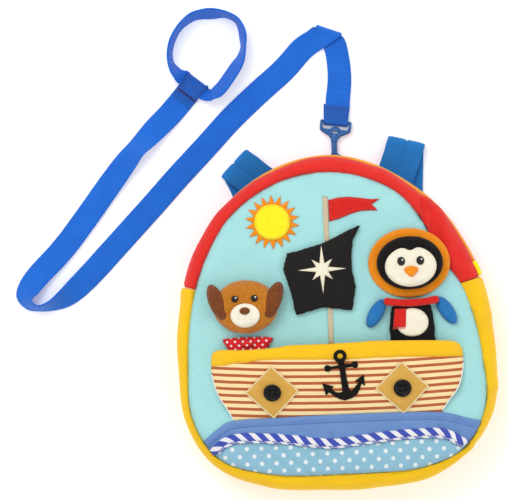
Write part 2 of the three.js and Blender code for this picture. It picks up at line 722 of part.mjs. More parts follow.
function makePuppy() {
  const w = puppyWidth;
  const h = puppyHeight;
  const group = puppetGroup(puppyX, puppyY, w * 0.4, -h * 0.45, h * 0.45, boatTop);
  const add = (name, geometry, material) => addMesh("puppy_" + name, geometry, material, group);
  const headY = h * 0.09;
  add("head", padded(ellipse(0, headY, w * 0.5, h * 0.32), 0, puppyHeadThickness, 5), BROWN);
  const onHead = puppyHeadThickness + clear;
  for (const [side, sx] of [["left", -1], ["right", 1]]) {
    const ear = ellipse(sx * w * 0.4, headY + h * 0.06, w * 0.12, h * 0.21, -sx * 22);
    add("ear_" + side, padded(ear, onHead, 2.5 * felt, 1, 4), DARK_BROWN);
    add("eye_" + side, padded(ellipse(sx * w * 0.14, headY + h * 0.09, 2.8, 2.8), onHead, felt, 0, 4), BLACK);
  }
  add("muzzle", padded(ellipse(0, headY - h * 0.09, w * 0.21, h * 0.13), onHead, 3 * felt, 1.4), CREAM);
  add("nose", padded(ellipse(0, headY - h * 0.04, w * 0.075, h * 0.04), onHead + 3 * felt + clear, 2 * felt, 0.8, 4),
    DARK_BROWN);
  const kerchief = corners([[-1, 1], [1, 1], [1.1, 0.5], [0.5, -0.7], [-0.5, -0.7], [-1.1, 0.5]],
    w * 0.3, h * 0.13, 0, headY - h * 0.46);
  add("neckerchief", padded(kerchief, 0, puppetBody, 1.2), RED);
  add("knot", padded(ellipse(0, headY - h * 0.39, w * 0.09, h * 0.04), puppetBody + clear, 3.5 * felt, 1.2, 4), RED);
}

// Flat band through stations: middle, direction across and width
function bandThrough(stations, thickness, closed = false) {
  const count = stations.length;
  const rings = stations.map((s, i) => {
    const before = stations[closed ? (i + count - 1) % count : Math.max(i - 1, 0)];
    const after = stations[closed ? (i + 1) % count : Math.min(i + 1, count - 1)];
    const way = s.way ?? after.at.clone().sub(before.at).normalize();
    const normal = way.clone().cross(s.across).normalize();
    const half = s.width / 2;
    const corner = (side, up) =>
      s.at.clone().addScaledVector(s.across, side * half).addScaledVector(normal, (up * thickness) / 2);
    return [corner(-1, -1), corner(1, -1), corner(1, 1), corner(-1, 1)];
  });
  return outward(skin(rings, closed));
}

const flatAcross = (degrees) => {
  const angle = THREE.MathUtils.degToRad(degrees);
  return new THREE.Vector3(Math.cos(angle), Math.sin(angle), 0);
};

// Shoulder straps: each leaves the back seam, folds over and runs back under the bag
// angle of the contour where it leaves, heading outwards, length outside, then the lower run
// as [share of half the width, share of half the height] down to the bottom seam
const STRAPS = [
  {
    name: "left", at: 113.5, heading: 141, foldHeading: 129, length: 41.5,
    lower: [[-0.5, 0.78], [-0.46, 0.5], [-0.47, 0], [-0.56, -0.5], [-0.7, -0.8]],
  },
  {
    name: "right", at: 63.6, heading: 70, foldHeading: 80, length: 48.5,
    lower: [[0.46, 0.78], [0.45, 0.5], [0.47, 0], [0.56, -0.5], [0.7, -0.8]],
  },
];
const strapRoot = 16; // how far outside the back seam a strap's upper layer starts

function makeStrap({ name, at, heading, foldHeading, length, lower }) {
  const half = strapThickness / 2;
  const seam = along(at, backSeamAt(at), 0);
  const out = flatAcross(heading);
  const gapAtSeam = 2 * clear;
  const upperLow = strapThickness + gapAtSeam;
  const start = seam.clone().addScaledVector(out, strapRoot);
  const stations = [];
  const push = (x, y, z, acrossAngle) =>
    stations.push({ at: new THREE.Vector3(x, y, z), across: flatAcross(acrossAngle), width: strapWidth });
  const foldRadius = (strapThickness + strapFoldRise) / 2;
  const end = start.clone().addScaledVector(out, length - strapRoot);
  for (const t of [0, 0.5, 0.85]) {
    const p = start.clone().lerp(end, t);
    const z = upperLow + half + (2 * foldRadius - strapThickness - gapAtSeam) * Math.sin((t * Math.PI) / 2);
    push(p.x, p.y, z, heading - 90);
  }
  for (let i = 0; i <= 6; i++) {
    const angle = Math.PI / 2 - (i * Math.PI) / 6;
    const p = end.clone().addScaledVector(out, foldRadius * Math.cos(angle));
    const z = half + foldRadius + foldRadius * Math.sin(angle);
    push(p.x, p.y, z, heading - 90 + ((foldHeading - heading) * i) / 6);
  }
  const points = [end.clone(), ...lower.map(([x, y]) => new THREE.Vector3(x * halfWidth, y * halfHeight, 0))];
  const route = new THREE.CatmullRomCurve3(points, false, "centripetal");
  const steps = 8;
  for (let i = 1; i <= steps; i++) {
    const p = route.getPoint(i / steps);
    const way = route.getTangent(i / steps);
    const turn = THREE.MathUtils.radToDeg(Math.atan2(way.y, way.x)) + 90;
    push(p.x, p.y, half, turn);
  }
  addMesh("shoulder_strap_" + name, bandThrough(stations, strapThickness), TEAL_BLUE);
}

// Rein loop, snap hook and swivel eye on the bag's top edge
const hookX = 4;
const loopWidth = 12;
const loopReach = 16; // outwards from the back seam
const loopRoot = 7; // inwards from the back seam
const loopBend = 2.5;
const loopCloth = 1;
const hookWire = 3;
const hookLength = 17;
const hookWidth = 19;
const stemDiameter = 5.3;
const eyeWidth = 26;
const eyeThickness = 4.4;
const stemReach = 8.5; // of the stem between the ring and the collar
const collarLength = 7.5;
const collarInFrame = 1.5; // of the collar's length
const collarRadius = 3.1;
const frameLength = 11; // from the frame's foot to the middle of its bar
const slotLength = 5;
const eyeTurn = -7.8; // degrees, of the eye and the webbing's end about the foot of the collar
const eyeLift = 0.45; // room for the turned collar above the stem
const barThickness = 2.4;
const topSeam = backSeamAt(90);
const wrapRadius = barThickness * Math.SQRT1_2 + clear + webbingThickness / 2; // of the webbing round the bar
const hookLevel = wrapRadius + webbingThickness / 2 + 0.2;
const ringLevel = clear + loopCloth + clear + hookWire / 2;

function makeReinLoop() {
  // seen along X: a flat root under the back seam that opens into a loop
  const low = clear;
  const high = low + 2 * loopCloth + 2 * clear + hookWire;
  const end = topSeam + loopReach;
  const rootTop = backLevel - clear;
  const outer = new THREE.Shape();
  outer.moveTo(topSeam - loopRoot, low);
  outer.lineTo(end - loopBend, low);
  outer.quadraticCurveTo(end, low, end, (low + high) / 2);
  outer.quadraticCurveTo(end, high, end - loopBend, high);
  outer.lineTo(topSeam + loopRoot, high);
  outer.lineTo(topSeam + 2 * loopCloth, rootTop);
  outer.lineTo(topSeam - loopRoot, rootTop);
  outer.closePath();
  const hole = new THREE.Path();
  hole.moveTo(topSeam + 3 * loopCloth, low + loopCloth);
  hole.lineTo(topSeam + loopRoot - clear, high - loopCloth);
  hole.lineTo(end - loopBend, high - loopCloth);
  hole.lineTo(end - loopCloth, high - 2 * loopCloth);
  hole.lineTo(end - loopCloth, low + 2 * loopCloth);
  hole.lineTo(end - loopBend, low + loopCloth);
  hole.closePath();
  outer.holes.push(hole);
  const geometry = new THREE.ExtrudeGeometry(outer, { depth: loopWidth, bevelEnabled: false, curveSegments: 3 });
  // the shape's x runs along +Y and its y along +Z
  const turn = new THREE.Matrix4().makeBasis(
    new THREE.Vector3(0, 1, 0), new THREE.Vector3(0, 0, 1), new THREE.Vector3(1, 0, 0),
  );
  geometry.applyMatrix4(turn).translate(hookX - loopWidth / 2, 0, 0);
  addMesh("rein_anchor_loop", geometry, WEB_BLUE);
}

const hookBottom = topSeam + loopRoot; // outside of the hook's bend, inside the loop
const hookTop = hookBottom + hookLength;
const collarLow = hookTop + stemReach;
const eyeLow = collarLow + collarLength - collarInFrame;
const barMiddle = eyeLow + frameLength;

function makeHook() {
  const rx = hookWidth / 2;
  const ry = hookLength / 2;
  const ringShape = ellipse(hookX, hookBottom + ry, rx, ry);
  const wire = hookWire * 0.9;
  ringShape.holes.push(new THREE.Path().absellipse(
    hookX, hookBottom + ry, rx - wire, ry - wire, 0, 2 * Math.PI, true,
  ));
  const ring = padded(ringShape, ringLevel - hookWire / 2, hookWire, 0, 8);
  const stemEnd = collarLow - clear;
  const stemStart = hookTop - wire * 0.6;
  const stem = new THREE.CylinderGeometry(stemDiameter / 2, stemDiameter / 2, stemEnd - stemStart, 12);
  stem.translate(hookX, (stemStart + stemEnd) / 2, hookLevel);
  const solid = toSolid(ring).add(toSolid(stem));
  addMesh("snap_hook", toGeometry(solid), PLASTIC_BLUE, leash);
}

function makeSwivelEye() {
  // collar that narrows towards the hook, and a flat frame with a slot for the webbing
  const collar = new THREE.LatheGeometry(
    [[0, 0], [0.93, 0], [1, 0.25], [1, 0.7], [0.93, 1], [0, 1]].map(
      ([r, y]) => new THREE.Vector2(r * collarRadius, y * collarLength),
    ),
    12,
  );
  collar.translate(hookX, collarLow, hookLevel);
  const w = eyeWidth / 2;
  const frame = new THREE.Shape(outline(
    [[-0.62, 0], [0.62, 0], [1, 0.42], [0.92, 0.94], [0.8, 1], [-0.8, 1], [-0.92, 0.94], [-1, 0.42]],
    w, barMiddle + barThickness / 2 - eyeLow, hookX, eyeLow, true, 2,
  ));
  const slotHalf = webbingWidth / 2 + 2 * clear;
  const barLow = barMiddle - barThickness / 2;
  const slot = corners([[-1, 0], [1, 0], [1, 1], [-1, 1]], slotHalf, slotLength, hookX, barLow - slotLength);
  frame.holes.push(new THREE.Path(slot.getPoints()));
  const plate = toSolid(padded(frame, hookLevel - eyeThickness / 2, eyeThickness));
  // the bar that the webbing wraps is thinner than the frame
  const bar = corners([[-1, -0.1], [1, -0.1], [1, 2], [-1, 2]], slotHalf, frameLength, hookX, barLow);
  const above = prism(bar, hookLevel + barThickness / 2);
  const under = prism(bar, -eyeThickness, hookLevel - barThickness / 2);
  const solid = plate.subtract(above).subtract(under).add(toSolid(collar));
  const geometry = toGeometry(solid);
  geometry.translate(-hookX, -collarLow, 0).rotateZ(THREE.MathUtils.degToRad(eyeTurn));
  geometry.translate(hookX, collarLow + eyeLift, 0);
  addMesh("swivel_eye", geometry, PLASTIC_BLUE, leash);
}

// Leash webbing, from its end folded round the bar to the stitched block at the hand loop
// Route: [x, y, width tilted up in degrees]
const LEASH = [
  [-18.7, 226, 4], [-34.7, 209.5, 0], [-57, 191, 0], [-80.8, 170, 0], [-101, 149.5, 0], [-125.9, 124.8, 0],
  [-144.4, 105.5, 0], [-163.3, 86.2, 0], [-182.2, 67, 0], [-199.4, 49.5, 8], [-213.5, 36.5, 22],
  [-224, 28.5, 42], [-235, 23.4, 66], [-245, 21.8, 78], [-252.5, 24.5, 68], [-256, 31, 45], [-252, 39.5, 24],
  [-242.5, 50.5, 12], [-229.5, 63, 8], [-218.3, 75.2, 6], [-208, 87.9, 6], [-198, 100.6, 6],
  [-188.3, 113.3, 8], [-178.4, 126, 12], [-168.3, 138.7, 22], [-159, 149.5, 38], [-150.5, 157.6, 26],
  [-142, 165.8, 12], [-129.5, 177.5, 4],
];
// Hand loop, from the lower end of the block round to its upper end: [x, y, tilt, width if gathered]
const HAND_LOOP = [
  [-97.6, 191.6, 50, 17], [-94.3, 191.7, 66], [-90.3, 193.5, 60], [-85.6, 198, 60], [-79.1, 206.5, 61],
  [-73.5, 214.3, 63], [-69.6, 220.9, 72], [-67.4, 229, 80], [-67.2, 237.4, 75], [-68.4, 245, 77],
  [-72.3, 252.2, 80], [-80.8, 256.8, 78], [-92.1, 258, 67], [-101, 257.7, 70], [-109.5, 255.4, 73],
  [-119.2, 247.6, 79], [-125.4, 237.5, 79], [-128, 227.5, 80], [-127.6, 219.4, 78], [-125.1, 213.7, 70],
  [-121.6, 209.5, 58, 18],
];
const loopEndWidth = 12;
const loopOffset = 2; // of the loop's ends from the block's middle line, away from the leash
const blockX = -110.7;
const blockY = 198.5;
const blockLength = 20; // along the loop, the leash's own width
const blockWidth = 15;
const blockThickness = 4.6;
const blockTurn = -40;

function tiltedStations(route) {
  const flat = route.map(([x, y]) => new THREE.Vector3(x, y, 0));
  return route.map(([x, y, tilt, width = webbingWidth], i) => {
    const before = flat[Math.max(i - 1, 0)];
    const after = flat[Math.min(i + 1, flat.length - 1)];
    const way = after.clone().sub(before).normalize();
    const side = new THREE.Vector3(way.y, -way.x, 0);
    const angle = THREE.MathUtils.degToRad(tilt);
    const across = side.multiplyScalar(Math.cos(angle)).add(new THREE.Vector3(0, 0, Math.sin(angle)));
    const lift = (width / 2) * Math.sin(angle) + (webbingThickness / 2) * Math.cos(angle) + clear;
    return { at: new THREE.Vector3(x, y, lift), across: across.normalize(), width };
  });
}

// Before the flat fold: [x, y, direction across in degrees, width]
const BEFORE_FOLD = [
  [10.8, 200, 0, 19.5], [10.7, 210, -2, 19.3], [9.8, 219, -7.5, 19.6], [7.9, 228.6, -12, 21.2],
  [5.6, 236, -17, 22.6],
];
// After the fold, lying on the first layer: [x, y, direction across in degrees, width, lift]
const AFTER_FOLD = [[-0.6, 237.6, -33, 21.2, 3.3], [-6.6, 233.6, -46, 19.6, 2.2]];
const foldX = 3.4;
const foldY = 239.4;
const foldAcross = -21; // degrees
const foldRadius = 1.5;
const foldWidth = 22;
const foldedEnd = 14; // of the webbing past the bar

function makeLeash() {
  const floor = webbingThickness / 2 + clear;
  const stations = [];
  const push = (x, y, z, width = webbingWidth, across = 0) =>
    stations.push({ at: new THREE.Vector3(x, y, z), across: flatAcross(across), width });
  const pivot = new THREE.Vector2(hookX, collarLow);
  const pushTurned = (x, y, z) => {
    const spot = new THREE.Vector2(hookX + x, y).rotateAround(pivot, THREE.MathUtils.degToRad(eyeTurn));
    push(spot.x, spot.y + eyeLift, z, webbingWidth, eyeTurn);
  };
  // the folded end under the upper layer, then half a turn round the bar
  const endY = barMiddle + foldedEnd;
  pushTurned(-1.5, endY, floor);
  pushTurned(-0.8, barMiddle + 6, floor + 0.2);
  for (let i = 0; i <= 6; i++) {
    const angle = -Math.PI / 2 - (i * Math.PI) / 6;
    pushTurned(0, barMiddle + wrapRadius * Math.cos(angle), hookLevel + wrapRadius * Math.sin(angle));
  }
  const upperLayer = floor + webbingThickness + clear;
  pushTurned(0, barMiddle + 7, upperLayer + 1);
  pushTurned(0.2, endY - 2, upperLayer + 0.2);
  push(hookX + 4.7, endY + 5, upperLayer, webbingWidth, eyeTurn / 2);
  push(hookX + 6, endY + foldedEnd, floor);
  for (const [x, y, across, width] of BEFORE_FOLD) push(x, y, floor, width, across);
  // the flat fold at the top right, where the webbing turns back over itself
  const foldMiddle = new THREE.Vector3(foldX, foldY, floor + foldRadius);
  for (let i = 0; i <= 4; i++) {
    const angle = -Math.PI / 2 + (i * Math.PI) / 4;
    const p = foldMiddle.clone().addScaledVector(flatAcross(foldAcross + 90), foldRadius * Math.cos(angle));
    push(p.x, p.y, foldMiddle.z + foldRadius * Math.sin(angle), foldWidth, foldAcross);
  }
  for (const [x, y, across, width, lift] of AFTER_FOLD) push(x, y, floor + lift, width, across);
  // past the fold the other face is up, so the width runs the other way
  stations.push(...tiltedStations(LEASH).map((s) => ({ ...s, across: s.across.negate() })));
  // the end lies along the near edge of the stitched block
  const blockMiddle = new THREE.Vector3(blockX, blockY, 0);
  const leashEnd = blockMiddle.clone().addScaledVector(flatAcross(blockTurn - 90), blockWidth / 2 + clear);
  push(leashEnd.x, leashEnd.y, floor, webbingWidth, blockTurn + 180);
  addMesh("leash_webbing", bandThrough(stations, webbingThickness), WEB_BLUE, leash);
  const loopEnd = (side) => ({
    at: blockMiddle.clone()
      .addScaledVector(flatAcross(blockTurn), side * (blockLength / 2 + clear))
      .addScaledVector(flatAcross(blockTurn + 90), loopOffset)
      .setZ(floor),
    across: flatAcross(blockTurn - 90),
    way: flatAcross(blockTurn),
    width: loopEndWidth,
  });
  const loop = [loopEnd(1), ...tiltedStations(HAND_LOOP), loopEnd(-1)];
  addMesh("leash_hand_loop", bandThrough(loop, webbingThickness), WEB_BLUE, leash);
  const block = new THREE.BoxGeometry(blockLength, blockWidth, blockThickness);
  block.rotateZ(THREE.MathUtils.degToRad(blockTurn));
  block.translate(blockX, blockY, clear + blockThickness / 2);
  addMesh("leash_stitch_block", block, WEB_BLUE, leash);
}

makePanels();
makeWalls();
makeZip();
makeWaves();
makeBoat();
makeHullPieces();
makeUpperScene();
makePenguin();
makePuppy();
STRAPS.forEach(makeStrap);
makeReinLoop();
makeHook();
makeSwivelEye();
makeLeash();

// The origin is the middle of the bag's underside
bag.updateMatrixWorld(true);
const extent = new THREE.Box3();
bag.children.filter((child) => child !== leash).forEach((child) => extent.expandByObject(child, true));
const middle = extent.getCenter(new THREE.Vector3());
bag.position.set(-middle.x, -middle.y, -extent.min.z);

export default bag;
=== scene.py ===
# %% [markdown]
# Toddler backpack with a padded picture and a safety leash.
# The real bag is sewn: two panels, a side wall with a zip, felt and cotton shapes stitched on the front.
# It lies on its back, so one height function of x and y can carry the whole front.
# Every shape below is worked out in millimetres from the bag's middle, and moved to the frame at the end.

import math

import bmesh
import bpy
import numpy as np
from mathutils import Matrix, Vector, noise
from mathutils.bvhtree import BVHTree


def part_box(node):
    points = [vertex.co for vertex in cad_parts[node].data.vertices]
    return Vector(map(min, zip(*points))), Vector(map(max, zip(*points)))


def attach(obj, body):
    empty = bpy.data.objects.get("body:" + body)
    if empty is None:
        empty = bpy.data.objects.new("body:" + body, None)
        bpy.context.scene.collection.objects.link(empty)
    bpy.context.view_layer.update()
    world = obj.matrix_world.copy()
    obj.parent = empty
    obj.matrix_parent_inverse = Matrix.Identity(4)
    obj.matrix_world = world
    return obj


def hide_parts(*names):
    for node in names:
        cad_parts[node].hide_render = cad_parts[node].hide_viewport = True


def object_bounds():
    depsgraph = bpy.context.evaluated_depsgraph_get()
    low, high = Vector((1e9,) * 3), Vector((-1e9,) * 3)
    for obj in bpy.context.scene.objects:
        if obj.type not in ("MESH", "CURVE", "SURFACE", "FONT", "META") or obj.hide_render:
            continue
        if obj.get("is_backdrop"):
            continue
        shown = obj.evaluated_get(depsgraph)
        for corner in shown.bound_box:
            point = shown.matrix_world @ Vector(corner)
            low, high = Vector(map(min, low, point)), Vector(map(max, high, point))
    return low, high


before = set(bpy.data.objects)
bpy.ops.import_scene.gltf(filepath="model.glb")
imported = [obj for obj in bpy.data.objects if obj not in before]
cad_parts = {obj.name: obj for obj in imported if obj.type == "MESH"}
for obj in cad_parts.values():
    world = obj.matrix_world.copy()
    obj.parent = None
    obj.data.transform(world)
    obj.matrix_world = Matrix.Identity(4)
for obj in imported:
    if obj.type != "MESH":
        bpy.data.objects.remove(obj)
cad_low, cad_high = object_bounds()
MM = 0.001
print("cad box", [round(v, 4) for v in cad_high - cad_low])

# %% [markdown]
# The stitched block of the leash is a plain box, so its middle tells where the bag's middle lies.

# %% From bag millimetres to the frame
BLOCK_MIDDLE = Vector((-110.7, 198.5, 0))
block_low, block_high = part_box("leash_stitch_block")
bag_origin = (block_low + block_high) / 2 - BLOCK_MIDDLE * MM
bag_origin.z = 0
TO_FRAME = Matrix.Translation(bag_origin) @ Matrix.Scale(MM, 4)
print("bag origin", [round(v, 5) for v in bag_origin])

# %% [markdown]
# The photograph looks straight down, with the bag turned a little anticlockwise.
# A long lens far above keeps the side walls almost out of sight, as a product photograph does.

# %% Camera
PHOTO_WIDTH = 508
MM_PER_PIXEL = 0.82
BAG_TURN = math.radians(2.5)
VIEW_CENTRE = Vector((-65.8, 62.0, 0))
CAMERA_HEIGHT = 5.0
PICTURE_LEVEL = 0.03
SENSOR = 36
camera_data = bpy.data.cameras.new("camera")
camera_data.sensor_width = SENSOR
field_width = PHOTO_WIDTH * MM_PER_PIXEL * MM
camera_data.lens = (CAMERA_HEIGHT - PICTURE_LEVEL) * SENSOR / field_width
camera = bpy.data.objects.new("camera", camera_data)
camera.location = TO_FRAME @ VIEW_CENTRE + Vector((0, 0, CAMERA_HEIGHT))
camera.rotation_euler = (0, 0, -BAG_TURN)
bpy.context.scene.collection.objects.link(camera)
bpy.context.scene.camera = camera
print("lens", round(camera_data.lens, 1))

# %% [markdown]
# A white world lights every fold softly. A wide lamp from the upper left gives the shapes their modelling,
# and a weaker one from the lower right keeps their shadows open.
# The Standard view keeps the strong primary colours of a toy, which a filmic curve would wash out.

# %% Light and floor
WORLD_STRENGTH = 0.72
# Name, place in metres, size in metres, power in watts
LAMPS = [("key_lamp", (-0.6, 0.9, 1.5), 1.0, 13), ("fill_lamp", (1.1, -0.5, 1.3), 1.2, 5)]
scene = bpy.context.scene
scene.view_settings.view_transform = "Standard"
world = bpy.data.worlds.new("studio")
scene.world = world
world.use_nodes = True
background = world.node_tree.nodes["Background"]
background.inputs["Color"].default_value = (1, 1, 1, 1)
background.inputs["Strength"].default_value = WORLD_STRENGTH
for name, place, lamp_size, power in LAMPS:
    data = bpy.data.lights.new(name, "AREA")
    data.size = lamp_size
    data.energy = power
    lamp = bpy.data.objects.new(name, data)
    lamp.location = place
    lamp.rotation_euler = (-Vector(place)).to_track_quat("-Z", "Y").to_euler()
    scene.collection.objects.link(lamp)

# %% [markdown]
# Materials are built from a few shared recipes. Each keeps its numbers in millimetres,
# so a weave of 0.8 is a thread every 0.8 mm, on a flat piece and on a curved one alike.

# %% A small helper that builds a finish from nodes
TAU = math.tau
WAVE_TURNS = 20  # the wave texture repeats every tau / 20 units at scale 1


def linear(hex_colour):
    """A colour as it looks on screen, as the linear values that a shader wants."""
    values = [int(hex_colour[i : i + 2], 16) / 255 for i in (1, 3, 5)]
    return [v / 12.92 if v < 0.04045 else ((v + 0.055) / 1.055) ** 2.4 for v in values] + [1.0]


class Finish:
    """A material and the node recipes that the finishes below share."""

    def __init__(self, name, roughness=0.9, coords="Object", **sockets):
        self.material = bpy.data.materials.new(name)
        self.material.use_nodes = True
        self.tree = self.material.node_tree
        self.shader = self.tree.nodes["Principled BSDF"]
        self.shader.inputs["Roughness"].default_value = roughness
        for socket, value in sockets.items():
            self.shader.inputs[socket.replace("_", " ")].default_value = value
        source = self.node("ShaderNodeTexCoord").outputs[coords]
        unit = 1 / MM if coords == "Object" else 1
        made = self.node("ShaderNodeMapping")
        self.mm = self.read(made, "Vector", Vector=source, Scale=(unit, unit, unit))

    def node(self, kind, **settings):
        made = self.tree.nodes.new(kind)
        for name, value in settings.items():
            setattr(made, name, value)
        return made

    def link(self, source, target):
        self.tree.links.new(source, target)

    def put(self, value, target):
        """Links a socket or sets a plain number."""
        if isinstance(value, bpy.types.NodeSocket):
            self.link(value, target)
        else:
            target.default_value = value

    def read(self, made, output, **inputs):
        """Sets or links a node's inputs, and gives one of its outputs."""
        for name, value in inputs.items():
            self.put(value, made.inputs[name.replace("_", " ")])
        return made.outputs[output]

    def stretched(self, x, y, z, turn=0.0):
        """The coordinates scaled per axis and turned, for streaks and slanted patterns."""
        made = self.node("ShaderNodeMapping")
        return self.read(made, "Vector", Vector=self.mm, Scale=(x, y, z), Rotation=(0, 0, turn))

    def noise(self, size, detail=2.0, vector=None):
        made = self.node("ShaderNodeTexNoise")
        return self.read(made, "Fac", Vector=vector or self.mm, Scale=1 / size, Detail=detail)

    def cells(self, size):
        return self.read(self.node("ShaderNodeTexVoronoi"), "Distance", Vector=self.mm, Scale=1 / size)

    def bands(self, period, direction="X", waviness=0.0, vector=None):
        """Even ribs across a direction, one every `period` millimetres."""
        made = self.node("ShaderNodeTexWave", wave_type="BANDS", bands_direction=direction)
        scale = TAU / (WAVE_TURNS * period)
        return self.read(made, "Fac", Vector=vector or self.mm, Scale=scale, Distortion=waviness)

    def math(self, operation, a, b, c=0.5):
        made = self.node("ShaderNodeMath", operation=operation)
        for value, target in zip((a, b, c), made.inputs):
            self.put(value, target)
        return made.outputs["Value"]

    def vectors(self, operation, a, b=(0, 0, 0), output="Vector"):
        made = self.node("ShaderNodeVectorMath", operation=operation)
        for value, target in zip((a, b), made.inputs):
            self.put(value, target)
        return made.outputs[output]

    def total(self, first, *others):
        """Sockets added up, each given as (socket, weight)."""
        made = self.math("MULTIPLY", *first)
        for socket, weight in others:
            made = self.math("MULTIPLY_ADD", socket, weight, made)
        return made

    def mix(self, factor, a, b):
        made = self.node("ShaderNodeMix", data_type="RGBA", blend_type="MIX")
        return self.read(made, "Result", Factor=factor, A=a, B=b)

    def between(self, value, low, high):
        """0 below low, 1 above high and a straight ramp in between."""
        return self.read(self.node("ShaderNodeMapRange"), "Result", Value=value, From_Min=low, From_Max=high)

    def colour(self, socket):
        self.link(socket, self.shader.inputs["Base Color"])

    def blend_tones(self, factor, shade, colour):
        """The colour between two tones, by a factor from 0 to 1."""
        self.colour(self.mix(factor, linear(shade), linear(colour)))

    def print_over(self, factor, ink):
        """A printed colour over the cloth's own."""
        under = self.shader.inputs["Base Color"].links[0].from_socket
        self.colour(self.mix(factor, under, ink))

    def rough(self, value, low, high):
        made = self.node("ShaderNodeMapRange")
        ramp = self.read(made, "Result", Value=value, To_Min=low, To_Max=high)
        self.link(ramp, self.shader.inputs["Roughness"])

    def bump(self, *heights):
        """Stacked bumps, each (height socket, depth in millimetres)."""
        normal = None
        for height, depth in heights:
            made = self.node("ShaderNodeBump")
            made.inputs["Distance"].default_value = depth * MM
            self.link(height, made.inputs["Height"])
            if normal:
                self.link(normal, made.inputs["Normal"])
            normal = made.outputs["Normal"]
        self.link(normal, self.shader.inputs["Normal"])


# %% [markdown]
# Cotton: two sets of threads cross at right angles, each a little uneven, and the dyed colour is never quite
# flat; the hollows of the weave are darkened as painted shade.
# Felt and plush have no threads: they are noise at the size of their fibres, with a sheen at grazing angles.

# %% Recipes for cotton, felt, plush, webbing and plastic
def cotton(name, colour, shade, thread=0.8, coords="Object", weave=0.12, slub=0.25, sheen=0.15):
    """Plain woven cotton with uneven threads; shade is its darker tone, painted as shade into the hollows of
    the weave and also the darker side of its uneven dyeing.
    """
    finish = Finish(name, 0.88, coords, Sheen_Weight=sheen, Specular_IOR_Level=0.25)
    warp = finish.bands(thread, "X", 0.3)
    weft = finish.bands(thread, "Y", 0.3)
    threads = finish.math("MAXIMUM", warp, weft)
    streaks = finish.noise(1, 3, finish.stretched(0.05, 0.9, 0.05))
    cloud = finish.noise(28, 3)
    # the threads darken the colour in the weave's hollows as painted shade; the streaks and the cloud are
    # uneven dyeing
    tint = finish.total((streaks, slub), (threads, 0.35), (cloud, 0.35))
    finish.blend_tones(finish.between(tint, 0.15, 0.75), shade, colour)
    finish.rough(cloud, 0.8, 0.95)
    finish.bump((finish.noise(9, 2), 0.35), (threads, weave))
    return finish


def felt(name, colour, shade, fibre=0.55, sheen=0.2):
    """Pressed felt: short tangled fibres and a soft mottle."""
    finish = Finish(name, 0.95, Sheen_Weight=sheen, Specular_IOR_Level=0.15)
    fibres = finish.noise(fibre, 4, finish.stretched(1, 1.7, 1, 0.6))
    tangle = finish.noise(fibre * 0.8, 4, finish.stretched(1.9, 1, 1, -0.4))
    fuzz = finish.math("MAXIMUM", fibres, tangle)
    mottle = finish.noise(7, 3)
    tint = finish.total((mottle, 0.35), (fuzz, 0.7))
    finish.blend_tones(finish.between(tint, 0.35, 0.7), shade, colour)
    finish.rough(mottle, 0.88, 1.0)
    finish.bump((mottle, 0.25), (fuzz, 0.35))
    return finish.material


def plush(name, colour, shade, sheen=0.3):
    """Short curly pile."""
    finish = Finish(name, 0.95, Sheen_Weight=sheen, Specular_IOR_Level=0.1)
    curls = finish.cells(1.1)
    pile = finish.noise(0.6, 4)
    patches = finish.noise(8, 2)
    tint = finish.total((pile, 0.5), (curls, 0.55), (patches, 0.3))
    finish.blend_tones(finish.between(tint, 0.35, 0.95), shade, colour)
    finish.rough(patches, 0.88, 1.0)
    finish.bump((curls, 0.5), (pile, 0.4))
    return finish.material


def webbing(name, colour, shade):
    """Woven strapping: ribs across it, every second one raised, with fine warp columns and their gaps
    darkened as painted shade.
    """
    finish = Finish(name, 0.62, "UV", Sheen_Weight=0.05, Specular_IOR_Level=0.3)
    ribs = finish.bands(1.5, "Y", 0.4)
    columns = finish.bands(1.3, "X", 0.3)
    grain = finish.noise(0.7, 3)
    cloud = finish.noise(22, 2)
    # the ribs and the columns paint shade into the gaps between them; the cloud and the grain vary the tone
    # at random
    tint = finish.total((columns, 0.16), (ribs, 0.5), (cloud, 0.3), (grain, 0.2))
    finish.blend_tones(finish.between(tint, 0.1, 0.95), shade, colour)
    finish.rough(ribs, 0.72, 0.5)
    finish.bump((cloud, 0.3), (ribs, 0.35), (columns, 0.15))
    return finish.material


def plastic(name, colour, shade, gloss=0.5):
    """Moulded plastic with faint flow marks and fine scuffs."""
    finish = Finish(name, Specular_IOR_Level=gloss)
    flow = finish.noise(5, 3, finish.stretched(1, 0.3, 1))
    scuffs = finish.noise(0.5, 4, finish.stretched(3, 0.5, 1, 0.5))
    finish.blend_tones(flow, shade, colour)
    finish.rough(finish.total((flow, 0.4), (scuffs, 0.6)), 0.24, 0.5)
    finish.bump((flow, 0.06), (scuffs, 0.02))
    return finish.material


def thread(name, colour, shade, sheen=0.3):
    """Sewing thread: two twisted plies, seen as slanted ribs."""
    finish = Finish(name, 0.7, Sheen_Weight=sheen)
    twist = finish.bands(0.5, "X", 0.2, finish.stretched(1, 1, 1, 0.8))
    finish.blend_tones(twist, shade, colour)
    finish.rough(twist, 0.6, 0.8)
    finish.bump((twist, 0.08))
    return finish.material


